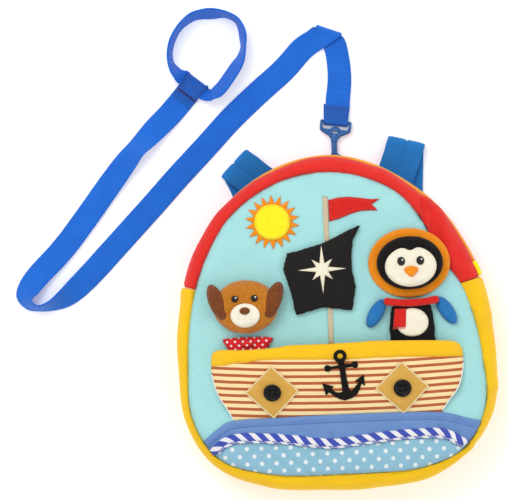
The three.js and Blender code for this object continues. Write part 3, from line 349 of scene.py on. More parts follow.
# %% Finishes of the bag and of the leash
aqua_canvas = cotton("aqua canvas", "#AEE6E4", "#93CFD2", thread=1.0, weave=0.16).material
red_cotton = cotton("red cotton", "#EE3229", "#D21E1A", coords="UV", sheen=0.08).material
yellow_cotton = cotton("yellow cotton", "#FFD01A", "#F5B60A", coords="UV", sheen=0.08).material
hem_cotton = cotton("hem cotton", "#FFCB1C", "#F2B30F").material
zip_cotton = cotton("zip tape", "#FBAF2C", "#E5901A", thread=0.6, coords="UV").material
lemon_cotton = cotton("lemon tab", "#FFFB10", "#F2E600", thread=0.6, coords="UV").material
strap_cotton = cotton("strap cotton", "#2580CC", "#155FA4", thread=0.7, coords="UV", weave=0.16, sheen=0.05)
blue_webbing = webbing("blue webbing", "#1480F4", "#0847B0")
dark_webbing = webbing("stitched webbing", "#1A70D2", "#0A429E")
blue_plastic = plastic("blue plastic", "#2068B0", "#124C8C")
coil_plastic = plastic("zip coil", "#FFC23A", "#F0A01C")
FLOOR_GLOW = 0.2
floor_finish = Finish("white table", 0.9)
floor_finish.blend_tones(floor_finish.noise(60, 2), "#FBFBFB", "#FFFFFF")
floor_finish.bump((floor_finish.noise(2, 3), 0.05))
floor_finish.shader.inputs["Emission Color"].default_value = (1, 1, 1, 1)
floor_finish.shader.inputs["Emission Strength"].default_value = FLOOR_GLOW

# %% [markdown]
# The table is a plane far larger than the view. A hair under zero, it never cuts the pieces that rest on it.

# %% Table
TABLE_DROP = 0.0002
TABLE_SIZE = 3


def as_object(bm, name):
    """An object in the scene that carries the mesh."""
    mesh = bpy.data.meshes.new(name)
    bm.to_mesh(mesh)
    bm.free()
    made = bpy.data.objects.new(name, mesh)
    scene.collection.objects.link(made)
    return made


bm = bmesh.new()
bmesh.ops.create_grid(bm, x_segments=8, y_segments=8, size=TABLE_SIZE)
bmesh.ops.translate(bm, verts=bm.verts, vec=(0, 0, -TABLE_DROP))
table = as_object(bm, "table")
table.data.materials.append(floor_finish.material)
table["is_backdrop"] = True

# %% [markdown]
# A contour table gives the bag's outline every 15 degrees: its widest line and its front seam, as shares of
# half the width and height. A smooth curve through the rows is enough for an egg with one slanted corner.

# %% The bag's contour
UP = Vector((0, 0, 1))
HALF_WIDTH = 130.5
HALF_HEIGHT = 137.0
CONTOUR = [
    (0.965, 0.855), (0.945, 0.805), (0.932, 0.75), (0.94, 0.8), (0.947, 0.857), (0.973, 0.88),
    (0.997, 0.898), (0.999, 0.91), (1.0, 0.917), (1.003, 0.922), (0.999, 0.91), (0.998, 0.912),
    (1.002, 0.932), (1.044, 0.985), (1.128, 1.082), (1.157, 1.108), (1.096, 1.018), (1.03, 0.94),
    (1.003, 0.908), (1.026, 0.938), (1.095, 1.02), (1.128, 1.09), (1.114, 1.046), (1.02, 0.93),
]
WIDEST, FRONT_SEAM = 0, 1
CONTOUR_STEP = 360 / len(CONTOUR)


def unit_circle(count):
    """Points of a circle of radius 1, evenly spaced."""
    return [(math.cos(TAU * k / count), math.sin(TAU * k / count)) for k in range(count)]


def ripple(x, y, z):
    """Smooth noise at a point, from about -1 to 1."""
    return noise.noise(Vector((x, y, z)))


def bell(distance, width):
    """1 at no distance, falling smoothly to nothing beyond the width."""
    return math.exp(-((distance / width) ** 2))


def curve_value(before, start, end, after, t):
    """A smooth curve between start and end, whose slopes come from the points around them."""
    bend = after - 3 * end + 3 * start - before
    rise = 2 * before - 5 * start + 4 * end - after
    return start + (end - before + (rise + bend * t) * t) * (0.5 * t)


def contour_share(column, degrees):
    place = (degrees % 360) / CONTOUR_STEP
    row = int(place)
    around = [CONTOUR[(row + k) % len(CONTOUR)][column] for k in (-1, 0, 1, 2)]
    return curve_value(*around, place - row)


def on_contour(column, degrees, share=1.0):
    angle = math.radians(degrees)
    reach = contour_share(column, degrees) * share
    return Vector((HALF_WIDTH * reach * math.cos(angle), HALF_HEIGHT * reach * math.sin(angle), 0))


def contour_angle(x, y):
    return math.degrees(math.atan2(y / HALF_HEIGHT, x / HALF_WIDTH))


def smooth_through(points, t):
    """A point at t from 0 to 1 along a smooth curve through a list of vectors."""
    place = min(max(t, 0), 1) * (len(points) - 1)
    i = min(int(place), len(points) - 2)
    at = [points[min(max(i + k, 0), len(points) - 1)] for k in (-1, 0, 1, 2)]
    return curve_value(*at, place - i)


# %% [markdown]
# The front is a low dome, flat in the middle. Real padding under cloth is never even, so broad shallow
# dents lie over it. Near the seam the cloth is drawn in, with a puckered edge and a groove at the stitches.

# %% Height of the front panel
SEAM_LEVEL = 51.8
BACK_LEVEL = 3.8
SIDE_DEPTH = 48.0
DOME_HEIGHT = 8.0
DOME_POWER = 2.4
GROOVE_DEPTH = 2.2
GROOVE_WIDTH = 2.6
PUCKER_WIDTH = 9.0


def dome(x, y):
    share = math.hypot(x / HALF_WIDTH, y / HALF_HEIGHT) / contour_share(FRONT_SEAM, contour_angle(x, y))
    return SEAM_LEVEL + DOME_HEIGHT * (1 - share**DOME_POWER), share


def front(x, y):
    """Height of the panel's cloth: dome, dents, puckers and the groove at the seam."""
    level, share = dome(x, y)
    from_seam = max(0.0, 1 - share) * 0.85 * HALF_WIDTH
    dents = 1.3 * ripple(x / 46, y / 38, 0.3) + 0.5 * ripple(x / 17, y / 21, 4)
    angle = contour_angle(x, y)
    pucker = ripple(angle / 2.6, 1.7, 0) + 0.6 * ripple(angle / 1.1, 5, 0)
    near_seam = math.exp(-from_seam / PUCKER_WIDTH)
    groove = GROOVE_DEPTH * bell(from_seam, GROOVE_WIDTH)
    return level + dents * (1 - near_seam) + 0.8 * pucker * near_seam - groove


# %% [markdown]
# Four helpers make every sewn piece: a grid laid on a surface, a thickness, a section carried along a line,
# and a last step that moves the mesh to the frame, gives it its finish and lets it ride on the bag.

# %% Helpers for cloth grids, thickness and finished pieces
def grid_on(place, columns, rows, size):
    """A grid laid by place(s, t), both from 0 to 1, with UVs in millimetres over a cloth of that size."""
    bm = bmesh.new()
    uv = bm.loops.layers.uv.new("cloth")
    bmesh.ops.create_grid(bm, x_segments=columns, y_segments=rows, size=1)
    for face in bm.faces:
        for loop in face.loops:
            s, t = (loop.vert.co.x + 1) / 2, (loop.vert.co.y + 1) / 2
            loop[uv].uv = (s * size[0], t * size[1])
    for vert in bm.verts:
        vert.co = place((vert.co.x + 1) / 2, (vert.co.y + 1) / 2)
    return bm


def faced_out(bm):
    """The mesh with its faces turned outwards."""
    bmesh.ops.recalc_face_normals(bm, faces=bm.faces[:])
    return bm


def thicken(bm, wall):
    """Gives an open cloth its thickness, downwards or inwards from its faces."""
    bmesh.ops.solidify(bm, geom=bm.faces[:], thickness=wall)
    return faced_out(bm)


def finish_piece(bm, name, material, slot=None, nodes=(), frame_of=Matrix()):
    """Moves a mesh to the frame, smooths its faces and lets it ride on the bag in place of its CAD nodes."""
    bmesh.ops.transform(bm, matrix=TO_FRAME @ frame_of, verts=bm.verts)
    for face in bm.faces:
        face.smooth = True
    piece = as_object(bm, name)
    piece.data.materials.append(material)
    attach(piece, "root")
    if nodes:
        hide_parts(*nodes)
    return piece


def cloth_area(bm):
    """Area of an open cloth, in square metres."""
    return sum(face.calc_area() for face in bm.faces) * MM * MM


def top_of(bm):
    """The upper surface of a shape, as a function of x and y."""
    tree = BVHTree.FromBMesh(bm)

    def height(x, y):
        spot = tree.ray_cast(Vector((x, y, 200)), Vector((0, 0, -1)))[0]
        return (spot or tree.find_nearest(Vector((x, y, 0)))[0]).z

    return height


def lifted(amount, surface):
    return lambda x, y: surface(x, y) + amount


# %% A section carried along stations
def sweep(stations, section, closed=False):
    """A closed skin: the section's (across, up) points carried along stations (middle, across, up, width)."""
    loop = stations + stations[:1] if closed else stations
    round_section = section + section[:1]
    columns, rows = len(section), len(loop) - 1
    lengths = [0.0]
    for a, b in zip(loop, loop[1:]):
        lengths.append(lengths[-1] + (b[0] - a[0]).length)
    girth = [0.0]
    wide = loop[0][3]
    for a, b in zip(round_section, round_section[1:]):
        girth.append(girth[-1] + math.hypot((b[0] - a[0]) * wide, b[1] - a[1]))
    bm = bmesh.new()
    uv = bm.loops.layers.uv.new("cloth")
    bmesh.ops.create_grid(bm, x_segments=columns, y_segments=rows, size=1)

    def index(co):
        return round((co.x + 1) / 2 * columns), round((co.y + 1) / 2 * rows)

    for face in bm.faces:
        for corner in face.loops:
            i, j = index(corner.vert.co)
            corner[uv].uv = (girth[i], lengths[j])
    for vert in bm.verts:
        i, j = index(vert.co)
        middle, across, up, wide = loop[j]
        a, b = round_section[i]
        vert.co = middle + across * (a * wide) + up * b
    bmesh.ops.remove_doubles(bm, verts=bm.verts, dist=1e-4)
    if not closed:
        rim = [edge for edge in bm.edges if edge.is_boundary]
        bmesh.ops.holes_fill(bm, edges=rim, sides=0)
    return faced_out(bm)


def band_section(width, thickness, selvedge=0.0, groove=0.0, steps=6):
    """Section of a flat band: round edges, an optional thicker selvedge and a groove along its middle."""
    half, thick = width / 2, thickness / 2
    top = []
    for k in range(-steps, steps + 1):
        a = (half - thick) * k / steps
        rise = selvedge * (abs(k) >= steps - 1) - groove * (k == 0)
        top.append((a, thick + rise))
    if groove:
        narrow = groove * 0.9
        middle = len(top) // 2
        top[middle : middle + 1] = [(-narrow, thick), (0, thick - groove), (narrow, thick)]
    edge = [(half - thick * 0.3, thick * 0.7), (half, 0.0), (half - thick * 0.3, -thick * 0.7)]
    under = [(a, -b) for a, b in reversed(top)]
    return top + edge + under + [(-a, -b) for a, b in edge]


def round_section(radius, sides=10, flat=1.0):
    return [(radius * a, flat * radius * b) for a, b in unit_circle(sides)]


def smooth_stations(stations, per=4):
    """More stations between those given, on a smooth curve, with the width and the twist blended."""
    fine = []
    count = (len(stations) - 1) * per
    columns = list(zip(*stations))
    for k in range(count + 1):
        t = k / count
        middle = smooth_through(columns[0], t)
        across = smooth_through(columns[1], t).normalized()
        up = smooth_through(columns[2], t)
        up = (up - across * up.dot(across)).normalized()
        fine.append((middle, across, up, smooth_through(columns[3], t)))
    return fine


def flat_across(degrees):
    return Vector((math.cos(math.radians(degrees)), math.sin(math.radians(degrees)), 0))


def with_ups(points):
    """Adds each station's upward side, square to the way and to the direction across it."""
    stations = []
    for i, (middle, across, width) in enumerate(points):
        way = points[min(i + 1, len(points) - 1)][0] - points[max(i - 1, 0)][0]
        up = way.normalized().cross(across).normalized()
        stations.append((middle, across.normalized(), up, width))
    return stations


# %% [markdown]
# The leash is 20 mm webbing. Its route is a list of points, as in the CAD source, each
# with the tilt of the webbing's width: flat where it lies, on edge where it turns. It starts folded round the
# bar of the swivel eye, folds over flat at the top right and ends at the stitched block of the hand loop.

# %% Sizes of the leash and its fittings
WEBBING_WIDTH = 20.0
WEBBING_THICKNESS = 1.4
CLEAR = 0.3
BACK_TUCK = 22.0
HOOK_X = 4.0
TOP_SEAM = on_contour(WIDEST, 90).y - BACK_TUCK
LOOP_ROOT = 7.0
HOOK_WIRE = 3.0
HOOK_LENGTH, HOOK_WIDTH = 17.0, 19.0
HOOK_BOTTOM = TOP_SEAM + LOOP_ROOT
HOOK_TOP = HOOK_BOTTOM + HOOK_LENGTH
STEM_REACH = 8.5
COLLAR_LENGTH = 7.5
COLLAR_LOW = HOOK_TOP + STEM_REACH
EYE_LOW = COLLAR_LOW + COLLAR_LENGTH - 1.5
BAR_MIDDLE = EYE_LOW + 11.0
BAR_THICKNESS = 2.4
WRAP_RADIUS = BAR_THICKNESS * math.sqrt(0.5) + CLEAR + WEBBING_THICKNESS / 2
HOOK_LEVEL = WRAP_RADIUS + WEBBING_THICKNESS / 2 + 0.2
LOOP_CLOTH = 1.0
RING_LEVEL = CLEAR + LOOP_CLOTH + CLEAR + HOOK_WIRE / 2
FLOOR_LEVEL = WEBBING_THICKNESS / 2 + CLEAR
FOLDED_END = 14.0
EYE_TURN, EYE_LIFT = -7.8, 0.45
EYE_PLACE = (
    Matrix.Translation((HOOK_X, COLLAR_LOW + EYE_LIFT, 0)) @ Matrix.Rotation(math.radians(EYE_TURN), 4, "Z")
    @ Matrix.Translation((-HOOK_X, -COLLAR_LOW, 0))
)

# Before the flat fold: x, y, direction across in degrees, width
BEFORE_FOLD = [
    (10.8, 200, 0, 19.5), (10.7, 210, -2, 19.3), (9.8, 219, -7.5, 19.6), (7.9, 228.6, -12, 21.2),
    (5.6, 236, -17, 22.6),
]
# After it, on the first layer: x, y, direction across in degrees, width, lift
AFTER_FOLD = [(-0.6, 237.6, -33, 21.2, 3.3), (-6.6, 233.6, -46, 19.6, 2.2)]
FOLD_X, FOLD_Y, FOLD_ACROSS, FOLD_RADIUS, FOLD_WIDTH = 3.4, 239.4, -21.0, 1.5, 22.0
# Along the table: x, y, tilt of the width in degrees
LEASH = [
    (-18.7, 226, 4), (-34.7, 209.5, 0), (-57, 191, 0), (-80.8, 170, 0), (-101, 149.5, 0), (-125.9, 124.8, 0),
    (-144.4, 105.5, 0), (-163.3, 86.2, 0), (-182.2, 67, 0), (-199.4, 49.5, 8), (-213.5, 36.5, 22),
    (-224, 28.5, 42), (-235, 23.4, 66), (-245, 21.8, 78), (-252.5, 24.5, 68), (-256, 31, 45),
    (-252, 39.5, 24),
    (-242.5, 50.5, 12), (-229.5, 63, 8), (-218.3, 75.2, 6), (-208, 87.9, 6), (-198, 100.6, 6),
    (-188.3, 113.3, 8), (-178.4, 126, 12), (-168.3, 138.7, 22), (-159, 149.5, 38), (-150.5, 157.6, 26),
    (-142, 165.8, 12), (-129.5, 177.5, 4),
]
# From the lower end of the block round to its upper end: x, y, tilt, width where it is gathered
HAND_LOOP = [
    (-97.6, 191.6, 50, 17), (-94.3, 191.7, 66), (-90.3, 193.5, 60), (-85.6, 198, 60), (-79.1, 206.5, 61),
    (-73.5, 214.3, 63), (-69.6, 220.9, 72), (-67.4, 229, 80), (-67.2, 237.4, 75), (-68.4, 245, 77),
    (-72.3, 252.2, 80), (-80.8, 256.8, 78), (-92.1, 258, 67), (-101, 257.7, 70), (-109.5, 255.4, 73),
    (-119.2, 247.6, 79), (-125.4, 237.5, 79), (-128, 227.5, 80), (-127.6, 219.4, 78), (-125.1, 213.7, 70),
    (-121.6, 209.5, 58, 18),
]
LOOP_END_WIDTH, LOOP_OFFSET = 12.0, 2.0
BLOCK_LENGTH, BLOCK_WIDTH, BLOCK_THICKNESS, BLOCK_TURN = 20.0, 15.0, 4.6, -40.0


# %% Stations of the leash and of the hand loop
def tilted(route):
    """Stations of webbing that lies on the table: a tilted width is lifted so that its lower edge touches."""
    points = [Vector((x, y, 0)) for x, y, *_ in route]
    stations = []
    for i, (x, y, tilt, *gathered) in enumerate(route):
        width = gathered[0] if gathered else WEBBING_WIDTH
        way = (points[min(i + 1, len(points) - 1)] - points[max(i - 1, 0)]).normalized()
        side = Vector((way.y, -way.x, 0))
        angle = math.radians(tilt)
        across = side * math.cos(angle) + Vector((0, 0, math.sin(angle)))
        lift = width / 2 * math.sin(angle) + WEBBING_THICKNESS / 2 * math.cos(angle) + CLEAR
        stations.append((Vector((x, y, lift)), across, width))
    return stations


def leash_points():
    """The whole leash from its folded end under the bar to the stitched block."""
    points = []

    def push(x, y, z, width=WEBBING_WIDTH, across=0.0):
        points.append((Vector((x, y, z)), flat_across(across), width))

    def push_turned(x, y, z):
        spot = EYE_PLACE @ Vector((HOOK_X + x, y, z))
        push(*spot, WEBBING_WIDTH, EYE_TURN)

    end_y = BAR_MIDDLE + FOLDED_END
    push_turned(-1.5, end_y, FLOOR_LEVEL)
    push_turned(-0.8, BAR_MIDDLE + 6, FLOOR_LEVEL + 0.2)
    for k in range(7):
        angle = -math.pi / 2 - k * math.pi / 6
        push_turned(0, BAR_MIDDLE + WRAP_RADIUS * math.cos(angle), HOOK_LEVEL + WRAP_RADIUS * math.sin(angle))
    upper_layer = FLOOR_LEVEL + WEBBING_THICKNESS + CLEAR
    push_turned(0, BAR_MIDDLE + 7, upper_layer + 1)
    push_turned(0.2, end_y - 2, upper_layer + 0.2)
    push(HOOK_X + 4.7, end_y + 5, upper_layer, WEBBING_WIDTH, EYE_TURN / 2)
    push(HOOK_X + 6, end_y + FOLDED_END, FLOOR_LEVEL)
    for x, y, across, width in BEFORE_FOLD:
        push(x, y, FLOOR_LEVEL, width, across)
    fold = Vector((FOLD_X, FOLD_Y, FLOOR_LEVEL + FOLD_RADIUS))
    for k in range(5):
        angle = -math.pi / 2 + k * math.pi / 4
        spot = fold + flat_across(FOLD_ACROSS + 90) * (FOLD_RADIUS * math.cos(angle))
        push(spot.x, spot.y, fold.z + FOLD_RADIUS * math.sin(angle), FOLD_WIDTH, FOLD_ACROSS)
    for x, y, across, width, lift in AFTER_FOLD:
        push(x, y, FLOOR_LEVEL + lift, width, across)
    # past the fold the other face is up, so the width runs the other way
    points.extend((middle, -across, width) for middle, across, width in tilted(LEASH))
    # its end reaches under the near edge of the block
    end = BLOCK_MIDDLE + flat_across(BLOCK_TURN - 90) * (BLOCK_WIDTH / 2 - 1)
    push(end.x, end.y, FLOOR_LEVEL, WEBBING_WIDTH, BLOCK_TURN + 180)
    return points


def loop_points():
    """The hand loop, both ends under the block."""
    ends = []
    for side in (1, -1):
        spot = BLOCK_MIDDLE + flat_across(BLOCK_TURN) * (side * (BLOCK_LENGTH / 2 - 1.5))
        spot = spot + flat_across(BLOCK_TURN + 90) * LOOP_OFFSET
        spot.z = FLOOR_LEVEL + WEBBING_THICKNESS * 0.6
        ends.append((spot, flat_across(BLOCK_TURN - 90), LOOP_END_WIDTH))
    return [ends[0], *tilted(HAND_LOOP), ends[1]]


def route_length(stations):
    return sum((b[0] - a[0]).length for a, b in zip(stations, stations[1:])) * MM


# %% Leash and hand loop
leash_stations = smooth_stations(with_ups(leash_points()))
loop_stations = smooth_stations(with_ups(loop_points()))
webbing_band = band_section(WEBBING_WIDTH, WEBBING_THICKNESS, selvedge=0.12, steps=7)
webbing_section = [(a / WEBBING_WIDTH, b) for a, b in webbing_band]
bm = sweep(leash_stations, webbing_section)
leash_top = top_of(bm)
# the webbing is darker where it is sewn: round the eye's bar, and a short way on from the block
eye_frame = EYE_PLACE.inverted()
SEWN_REACH = 11.0
NEAR_BLOCK, FAR_FROM_BLOCK = 25.0, 90.0
for face in bm.faces:
    middle = face.calc_center_median()
    apart = middle - BLOCK_MIDDLE
    at_hook = (eye_frame @ middle).y < BAR_MIDDLE + FOLDED_END - 0.5 and apart.x > FAR_FROM_BLOCK
    at_block = apart.dot(flat_across(BLOCK_TURN - 90)) < BLOCK_WIDTH / 2 + SEWN_REACH
    if at_hook or (at_block and apart.length < NEAR_BLOCK):
        face.material_index = 1
leash = finish_piece(bm, "woven_leash", blue_webbing, "blue_webbing", ["leash_webbing"])
leash.data.materials.append(dark_webbing)
bm = sweep(loop_stations, webbing_section)
hand_loop = finish_piece(bm, "woven_hand_loop", blue_webbing, "blue_webbing", ["leash_hand_loop"])

# %% [markdown]
# A moulded fitting is easiest as a few overlapping closed shapes, fused by a voxel remesh:
# the remesh leaves one clean skin, and a little smoothing gives the soft edges that a mould gives.

# %% Fusing shapes into one moulded body
def add_block(bm, low, high, bevel=0.4):
    """A box with rounded edges between two corners."""
    middle = (Vector(low) + Vector(high)) / 2
    size = Vector(high) - Vector(low)
    matrix = Matrix.Translation(middle) @ Matrix.Diagonal((*size, 1))
    made = bmesh.ops.create_cube(bm, size=1, matrix=matrix)
    edges = list({edge for vert in made["verts"] for edge in vert.link_edges})
    bmesh.ops.bevel(
        bm, geom=edges, offset=bevel, offset_type="OFFSET", segments=3, profile=0.5, affect="EDGES",
        material=-1,
    )


def add_cone(bm, start, end, radius_start, radius_end, sides=24):
    """A closed cone between two points."""
    way = Vector(end) - Vector(start)
    turn = way.to_track_quat("Z", "Y").to_matrix().to_4x4()
    matrix = Matrix.Translation((Vector(start) + Vector(end)) / 2) @ turn
    bmesh.ops.create_cone(
        bm, cap_ends=True, segments=sides, radius1=radius_start, radius2=radius_end, depth=way.length,
        matrix=matrix,
    )


def add_mesh(bm, other):
    """Moves another bmesh's faces into this one."""
    mesh = bpy.data.meshes.new("part")
    other.to_mesh(mesh)
    other.free()
    bm.from_mesh(mesh)
    bpy.data.meshes.remove(mesh)


def discard(holder):
    """Removes an object with its mesh."""
    mesh = holder.data
    bpy.data.objects.remove(holder)
    bpy.data.meshes.remove(mesh)


def worked(holder):
    """The mesh as the holder's modifiers leave it. The holder is removed."""
    graph = bpy.context.evaluated_depsgraph_get()
    result = bpy.data.meshes.new_from_object(holder.evaluated_get(graph))
    bm = bmesh.new()
    bm.from_mesh(result)
    bpy.data.meshes.remove(result)
    discard(holder)
    return bm


def through_modifier(bm, kind, **settings):
    """The mesh as one modifier leaves it."""
    holder = as_object(bm, "worked")
    modifier = holder.modifiers.new("work", kind)
    for name, value in settings.items():
        setattr(modifier, name, value)
    bpy.context.view_layer.update()
    return worked(holder)


def fused(bm, voxel, smoothing=3):
    bm = through_modifier(bm, "REMESH", mode="VOXEL", voxel_size=voxel)
    for _ in range(smoothing):
        bmesh.ops.smooth_vert(
            bm, verts=bm.verts, factor=0.5, use_axis_x=True, use_axis_y=True, use_axis_z=True
        )
    return bm


# %% [markdown]
# The snap hook is a ring with a sprung gate under the bag's edge, and a stem that turns in the swivel eye.
# The eye has a slot with a bar for the webbing, an arch round the stem's ball and stepped shoulders.

# %% Snap hook
def ring_stations(middle, half_across, half_along, count=48):
    stations = []
    for a, b in unit_circle(count):
        out = Vector((a, b, 0))
        spot = middle + Vector((half_across * out.x, half_along * out.y, 0))
        stations.append((spot, out, UP, 1.0))
    return stations


STEM_DIAMETER = 5.3
MOULD_VOXEL = 0.4
ring_middle = Vector((HOOK_X, HOOK_BOTTOM + HOOK_LENGTH / 2, RING_LEVEL))
wire_radius = HOOK_WIRE / 2
bm = sweep(
    ring_stations(ring_middle, HOOK_WIDTH / 2 - wire_radius, HOOK_LENGTH / 2 - wire_radius),
    round_section(wire_radius, 12),
    closed=True,
)
stem_start = Vector((HOOK_X, HOOK_TOP - HOOK_WIRE, HOOK_LEVEL - 0.3))
stem_end = Vector((HOOK_X, COLLAR_LOW + 1.0, HOOK_LEVEL))
add_cone(bm, stem_start, stem_end, STEM_DIAMETER / 2, STEM_DIAMETER / 2 * 0.94)
add_block(bm, stem_start + Vector((-1.6, 2, -2.8)), stem_end + Vector((1.6, -1.5, 2.75)), 0.5)
gate = Vector((HOOK_X + HOOK_WIDTH / 2 - wire_radius, HOOK_BOTTOM + HOOK_LENGTH * 0.55, RING_LEVEL))
add_block(bm, gate - Vector((1.9, 3.5, 1.7)), gate + Vector((1.9, 3.5, 1.7)), 0.8)
bm = fused(bm, MOULD_VOXEL)
snap_hook = finish_piece(bm, "moulded_snap_hook", blue_plastic, "blue_plastic", ["snap_hook"])

# %% Swivel eye
EYE_WIDTH, EYE_THICKNESS = 26.0, 4.4
EYE_TOP = BAR_MIDDLE + BAR_THICKNESS / 2
bm = bmesh.new()
eye_low = HOOK_LEVEL - EYE_THICKNESS / 2
eye_high = HOOK_LEVEL + EYE_THICKNESS / 2
arm = EYE_WIDTH / 2
slot_half = WEBBING_WIDTH / 2 + 2 * CLEAR
slot_low = EYE_TOP - BAR_THICKNESS - 5.0
for side in (-1, 1):
    outer, inner = HOOK_X + side * arm, HOOK_X + side * slot_half
    low_x, high_x = min(outer, inner), max(outer, inner)
    add_block(bm, (low_x, slot_low - 1.2, eye_low), (high_x, EYE_TOP, eye_high), 0.7)
    # shoulders that step in towards the collar
    start = Vector((HOOK_X + side * (arm - 1.6), slot_low - 0.6, HOOK_LEVEL))
    end = Vector((HOOK_X + side * 4.6, EYE_LOW + 1.0, HOOK_LEVEL))
    add_cone(bm, start, end, 1.7, 1.9, 16)
bar_half = BAR_THICKNESS / 2
left, right = HOOK_X - arm + 1, HOOK_X + arm - 1
add_block(bm, (left, slot_low - 1.6, eye_low + 0.4), (right, slot_low + 0.2, eye_high - 0.4), 0.5)
add_block(
    bm, (left, EYE_TOP - BAR_THICKNESS, HOOK_LEVEL - bar_half), (right, EYE_TOP, HOOK_LEVEL + bar_half), 0.3
)
arch = ring_stations(Vector((HOOK_X, EYE_LOW + 1.6, HOOK_LEVEL)), 4.0, 4.4, 24)
add_mesh(bm, sweep(arch, round_section(1.5, 8, 1.2), closed=True))
COLLAR_PROFILE = [(0.0, 0.86), (0.25, 1.0), (0.7, 1.0), (1.0, 0.86)]
COLLAR_RADIUS = 3.1
for (low, radius_low), (high, radius_high) in zip(COLLAR_PROFILE, COLLAR_PROFILE[1:]):
    start = Vector((HOOK_X, COLLAR_LOW + low * COLLAR_LENGTH, HOOK_LEVEL))
    end = Vector((HOOK_X, COLLAR_LOW + high * COLLAR_LENGTH, HOOK_LEVEL))
    add_cone(bm, start, end, radius_low * COLLAR_RADIUS, radius_high * COLLAR_RADIUS)
bm = fused(bm, MOULD_VOXEL, 2)
swivel_eye = finish_piece(bm, "moulded_swivel_eye", blue_plastic, "blue_plastic", ["swivel_eye"], EYE_PLACE)

# %% [markdown]
# Stitches are geometry too: each is a small ball drawn out along the seam, a few faces only.

# %% Rows of stitches
def walk(points, step, start=0.0):
    """Points every `step` along a line, with the direction there."""
    spots = []
    left = start
    for a, b in zip(points, points[1:]):
        length = (b - a).length
        way = (b - a) / max(length, 1e-6)
        while left <= length:
            spots.append((a + way * left, way))
            left += step
        left -= length
    return spots


def sew(bm, points, length=2.4, gap=1.3, radius=0.28, up=UP, base=None, turn=0.0):
    """One row of stitches along points; base(x, y) sets the height they lie at."""
    for spot, way in walk(points, length + gap, length / 2):
        height = base(spot.x, spot.y) if base else spot.z
        way = Matrix.Rotation(turn, 3, "Z") @ way
        if base:
            ahead, behind = (spot + way * (sign * length / 2) for sign in (1, -1))
            ahead.z, behind.z = base(ahead.x, ahead.y), base(behind.x, behind.y)
            way = (ahead - behind).normalized()
        side = up.cross(way).normalized()
        lift = way.cross(side)
        basis = Matrix((way, side, lift)).transposed().to_4x4()
        size = Matrix.Diagonal((length / 2, radius, radius * 0.8, 1))
        turned = Matrix.Rotation(math.pi / 2, 4, "Y")
        matrix = Matrix.Translation((spot.x, spot.y, height)) @ basis @ size @ turned
        bmesh.ops.create_uvsphere(bm, u_segments=6, v_segments=4, radius=1, matrix=matrix)


dark_blue_thread = thread("dark blue thread", "#1C55B8", "#123A8C")
indigo_thread = thread("indigo thread", "#26369A", "#1A2468")

# %% [markdown]
# Where the loop closes, three layers of webbing are sewn together through a box of stitches.

# %% Stitched block
bm = bmesh.new()
block_way = flat_across(BLOCK_TURN)
block_side = flat_across(BLOCK_TURN - 90)
LAYERS = 3
layer_step = (BLOCK_THICKNESS - WEBBING_THICKNESS) / (LAYERS - 1)
for k in range(LAYERS):
    level = CLEAR + WEBBING_THICKNESS / 2 + k * layer_step
    stations = []
    for j in range(9):
        t = j / 8 - 0.5
        sag = 0.25 * math.cos(t * math.pi) * (k - 1)
        spot = BLOCK_MIDDLE + block_way * (BLOCK_LENGTH * t) + Vector((0, 0, level + sag))
        stations.append((spot, block_side, UP, BLOCK_WIDTH + 0.5 * (1 - k)))
    add_mesh(bm, sweep(stations, webbing_section))
stitch_block = finish_piece(bm, "woven_stitch_block", dark_webbing, "blue_webbing", ["leash_stitch_block"])


def block_line(points, level):
    """A line given as shares of the block's half length and half width."""
    middle = BLOCK_MIDDLE + Vector((0, 0, level))
    along, across = BLOCK_LENGTH / 2, BLOCK_WIDTH / 2
    return [middle + block_way * (a * along) + block_side * (b * across) for a, b in points]


BOX_STITCH = {"length": 1.8, "gap": 0.6, "radius": 0.34}
bm = bmesh.new()
block_top = CLEAR + BLOCK_THICKNESS + 0.25
for inset in (0.9, 0.78):
    box = [(-inset, -inset), (inset, -inset), (inset, inset), (-inset, inset), (-inset, -inset)]
    sew(bm, block_line(box, block_top), **BOX_STITCH)
for a, b in ((-0.8, 0.8), (0.8, -0.8), (0.0, 0.0)):
    sew(bm, block_line([(-0.8, a), (0.8, b)], block_top), **BOX_STITCH)
# thin rows across the leash below the block
leash_level = FLOOR_LEVEL + WEBBING_THICKNESS / 2 + 0.15
for k in range(6):
    b = 1.5 + 0.22 * k
    row = block_line([(-0.85, b), (0.85, b)], leash_level)
    sew(bm, row, length=1.5, gap=1.1, radius=0.22, turn=0.6 * (-1) ** k)
block_stitches = finish_piece(bm, "sewn_block_stitches", dark_blue_thread, "blue_webbing")
# a thick indigo row where the leash comes out of the block
bm = bmesh.new()
for b in (1.06, 1.16):
    sew(bm, block_line([(-0.9, b), (0.97, b)], leash_level + 0.3), length=1.9, gap=0.0, radius=0.7)
block_bar_tack = finish_piece(bm, "sewn_block_bar_tack", indigo_thread, "blue_webbing")

# the stitched patch that closes the webbing round the bar
bm = bmesh.new()
ROWS = 10
for row in range(ROWS):
    y = BAR_MIDDLE + 2.4 + (FOLDED_END - 3.4) * row / (ROWS - 1)
    line = [EYE_PLACE @ Vector((HOOK_X + side * 8.8, y, 0)) for side in (-1, 1)]
    sew(bm, line, length=1.4, gap=1.0, radius=0.3, base=lifted(0.05, leash_top), turn=0.5 * (-1) ** row)
hook_stitches = finish_piece(bm, "sewn_hook_stitches", dark_blue_thread, "blue_webbing")

# %% [markdown]
# The whole leash shows in the photograph.

# %% [markdown]
# The side wall is one profile turned round the contour: out from the back seam to the zip line, and in again
# over a shoulder to the front seam, where it rolls under. Folds are valleys pressed in along short lines.

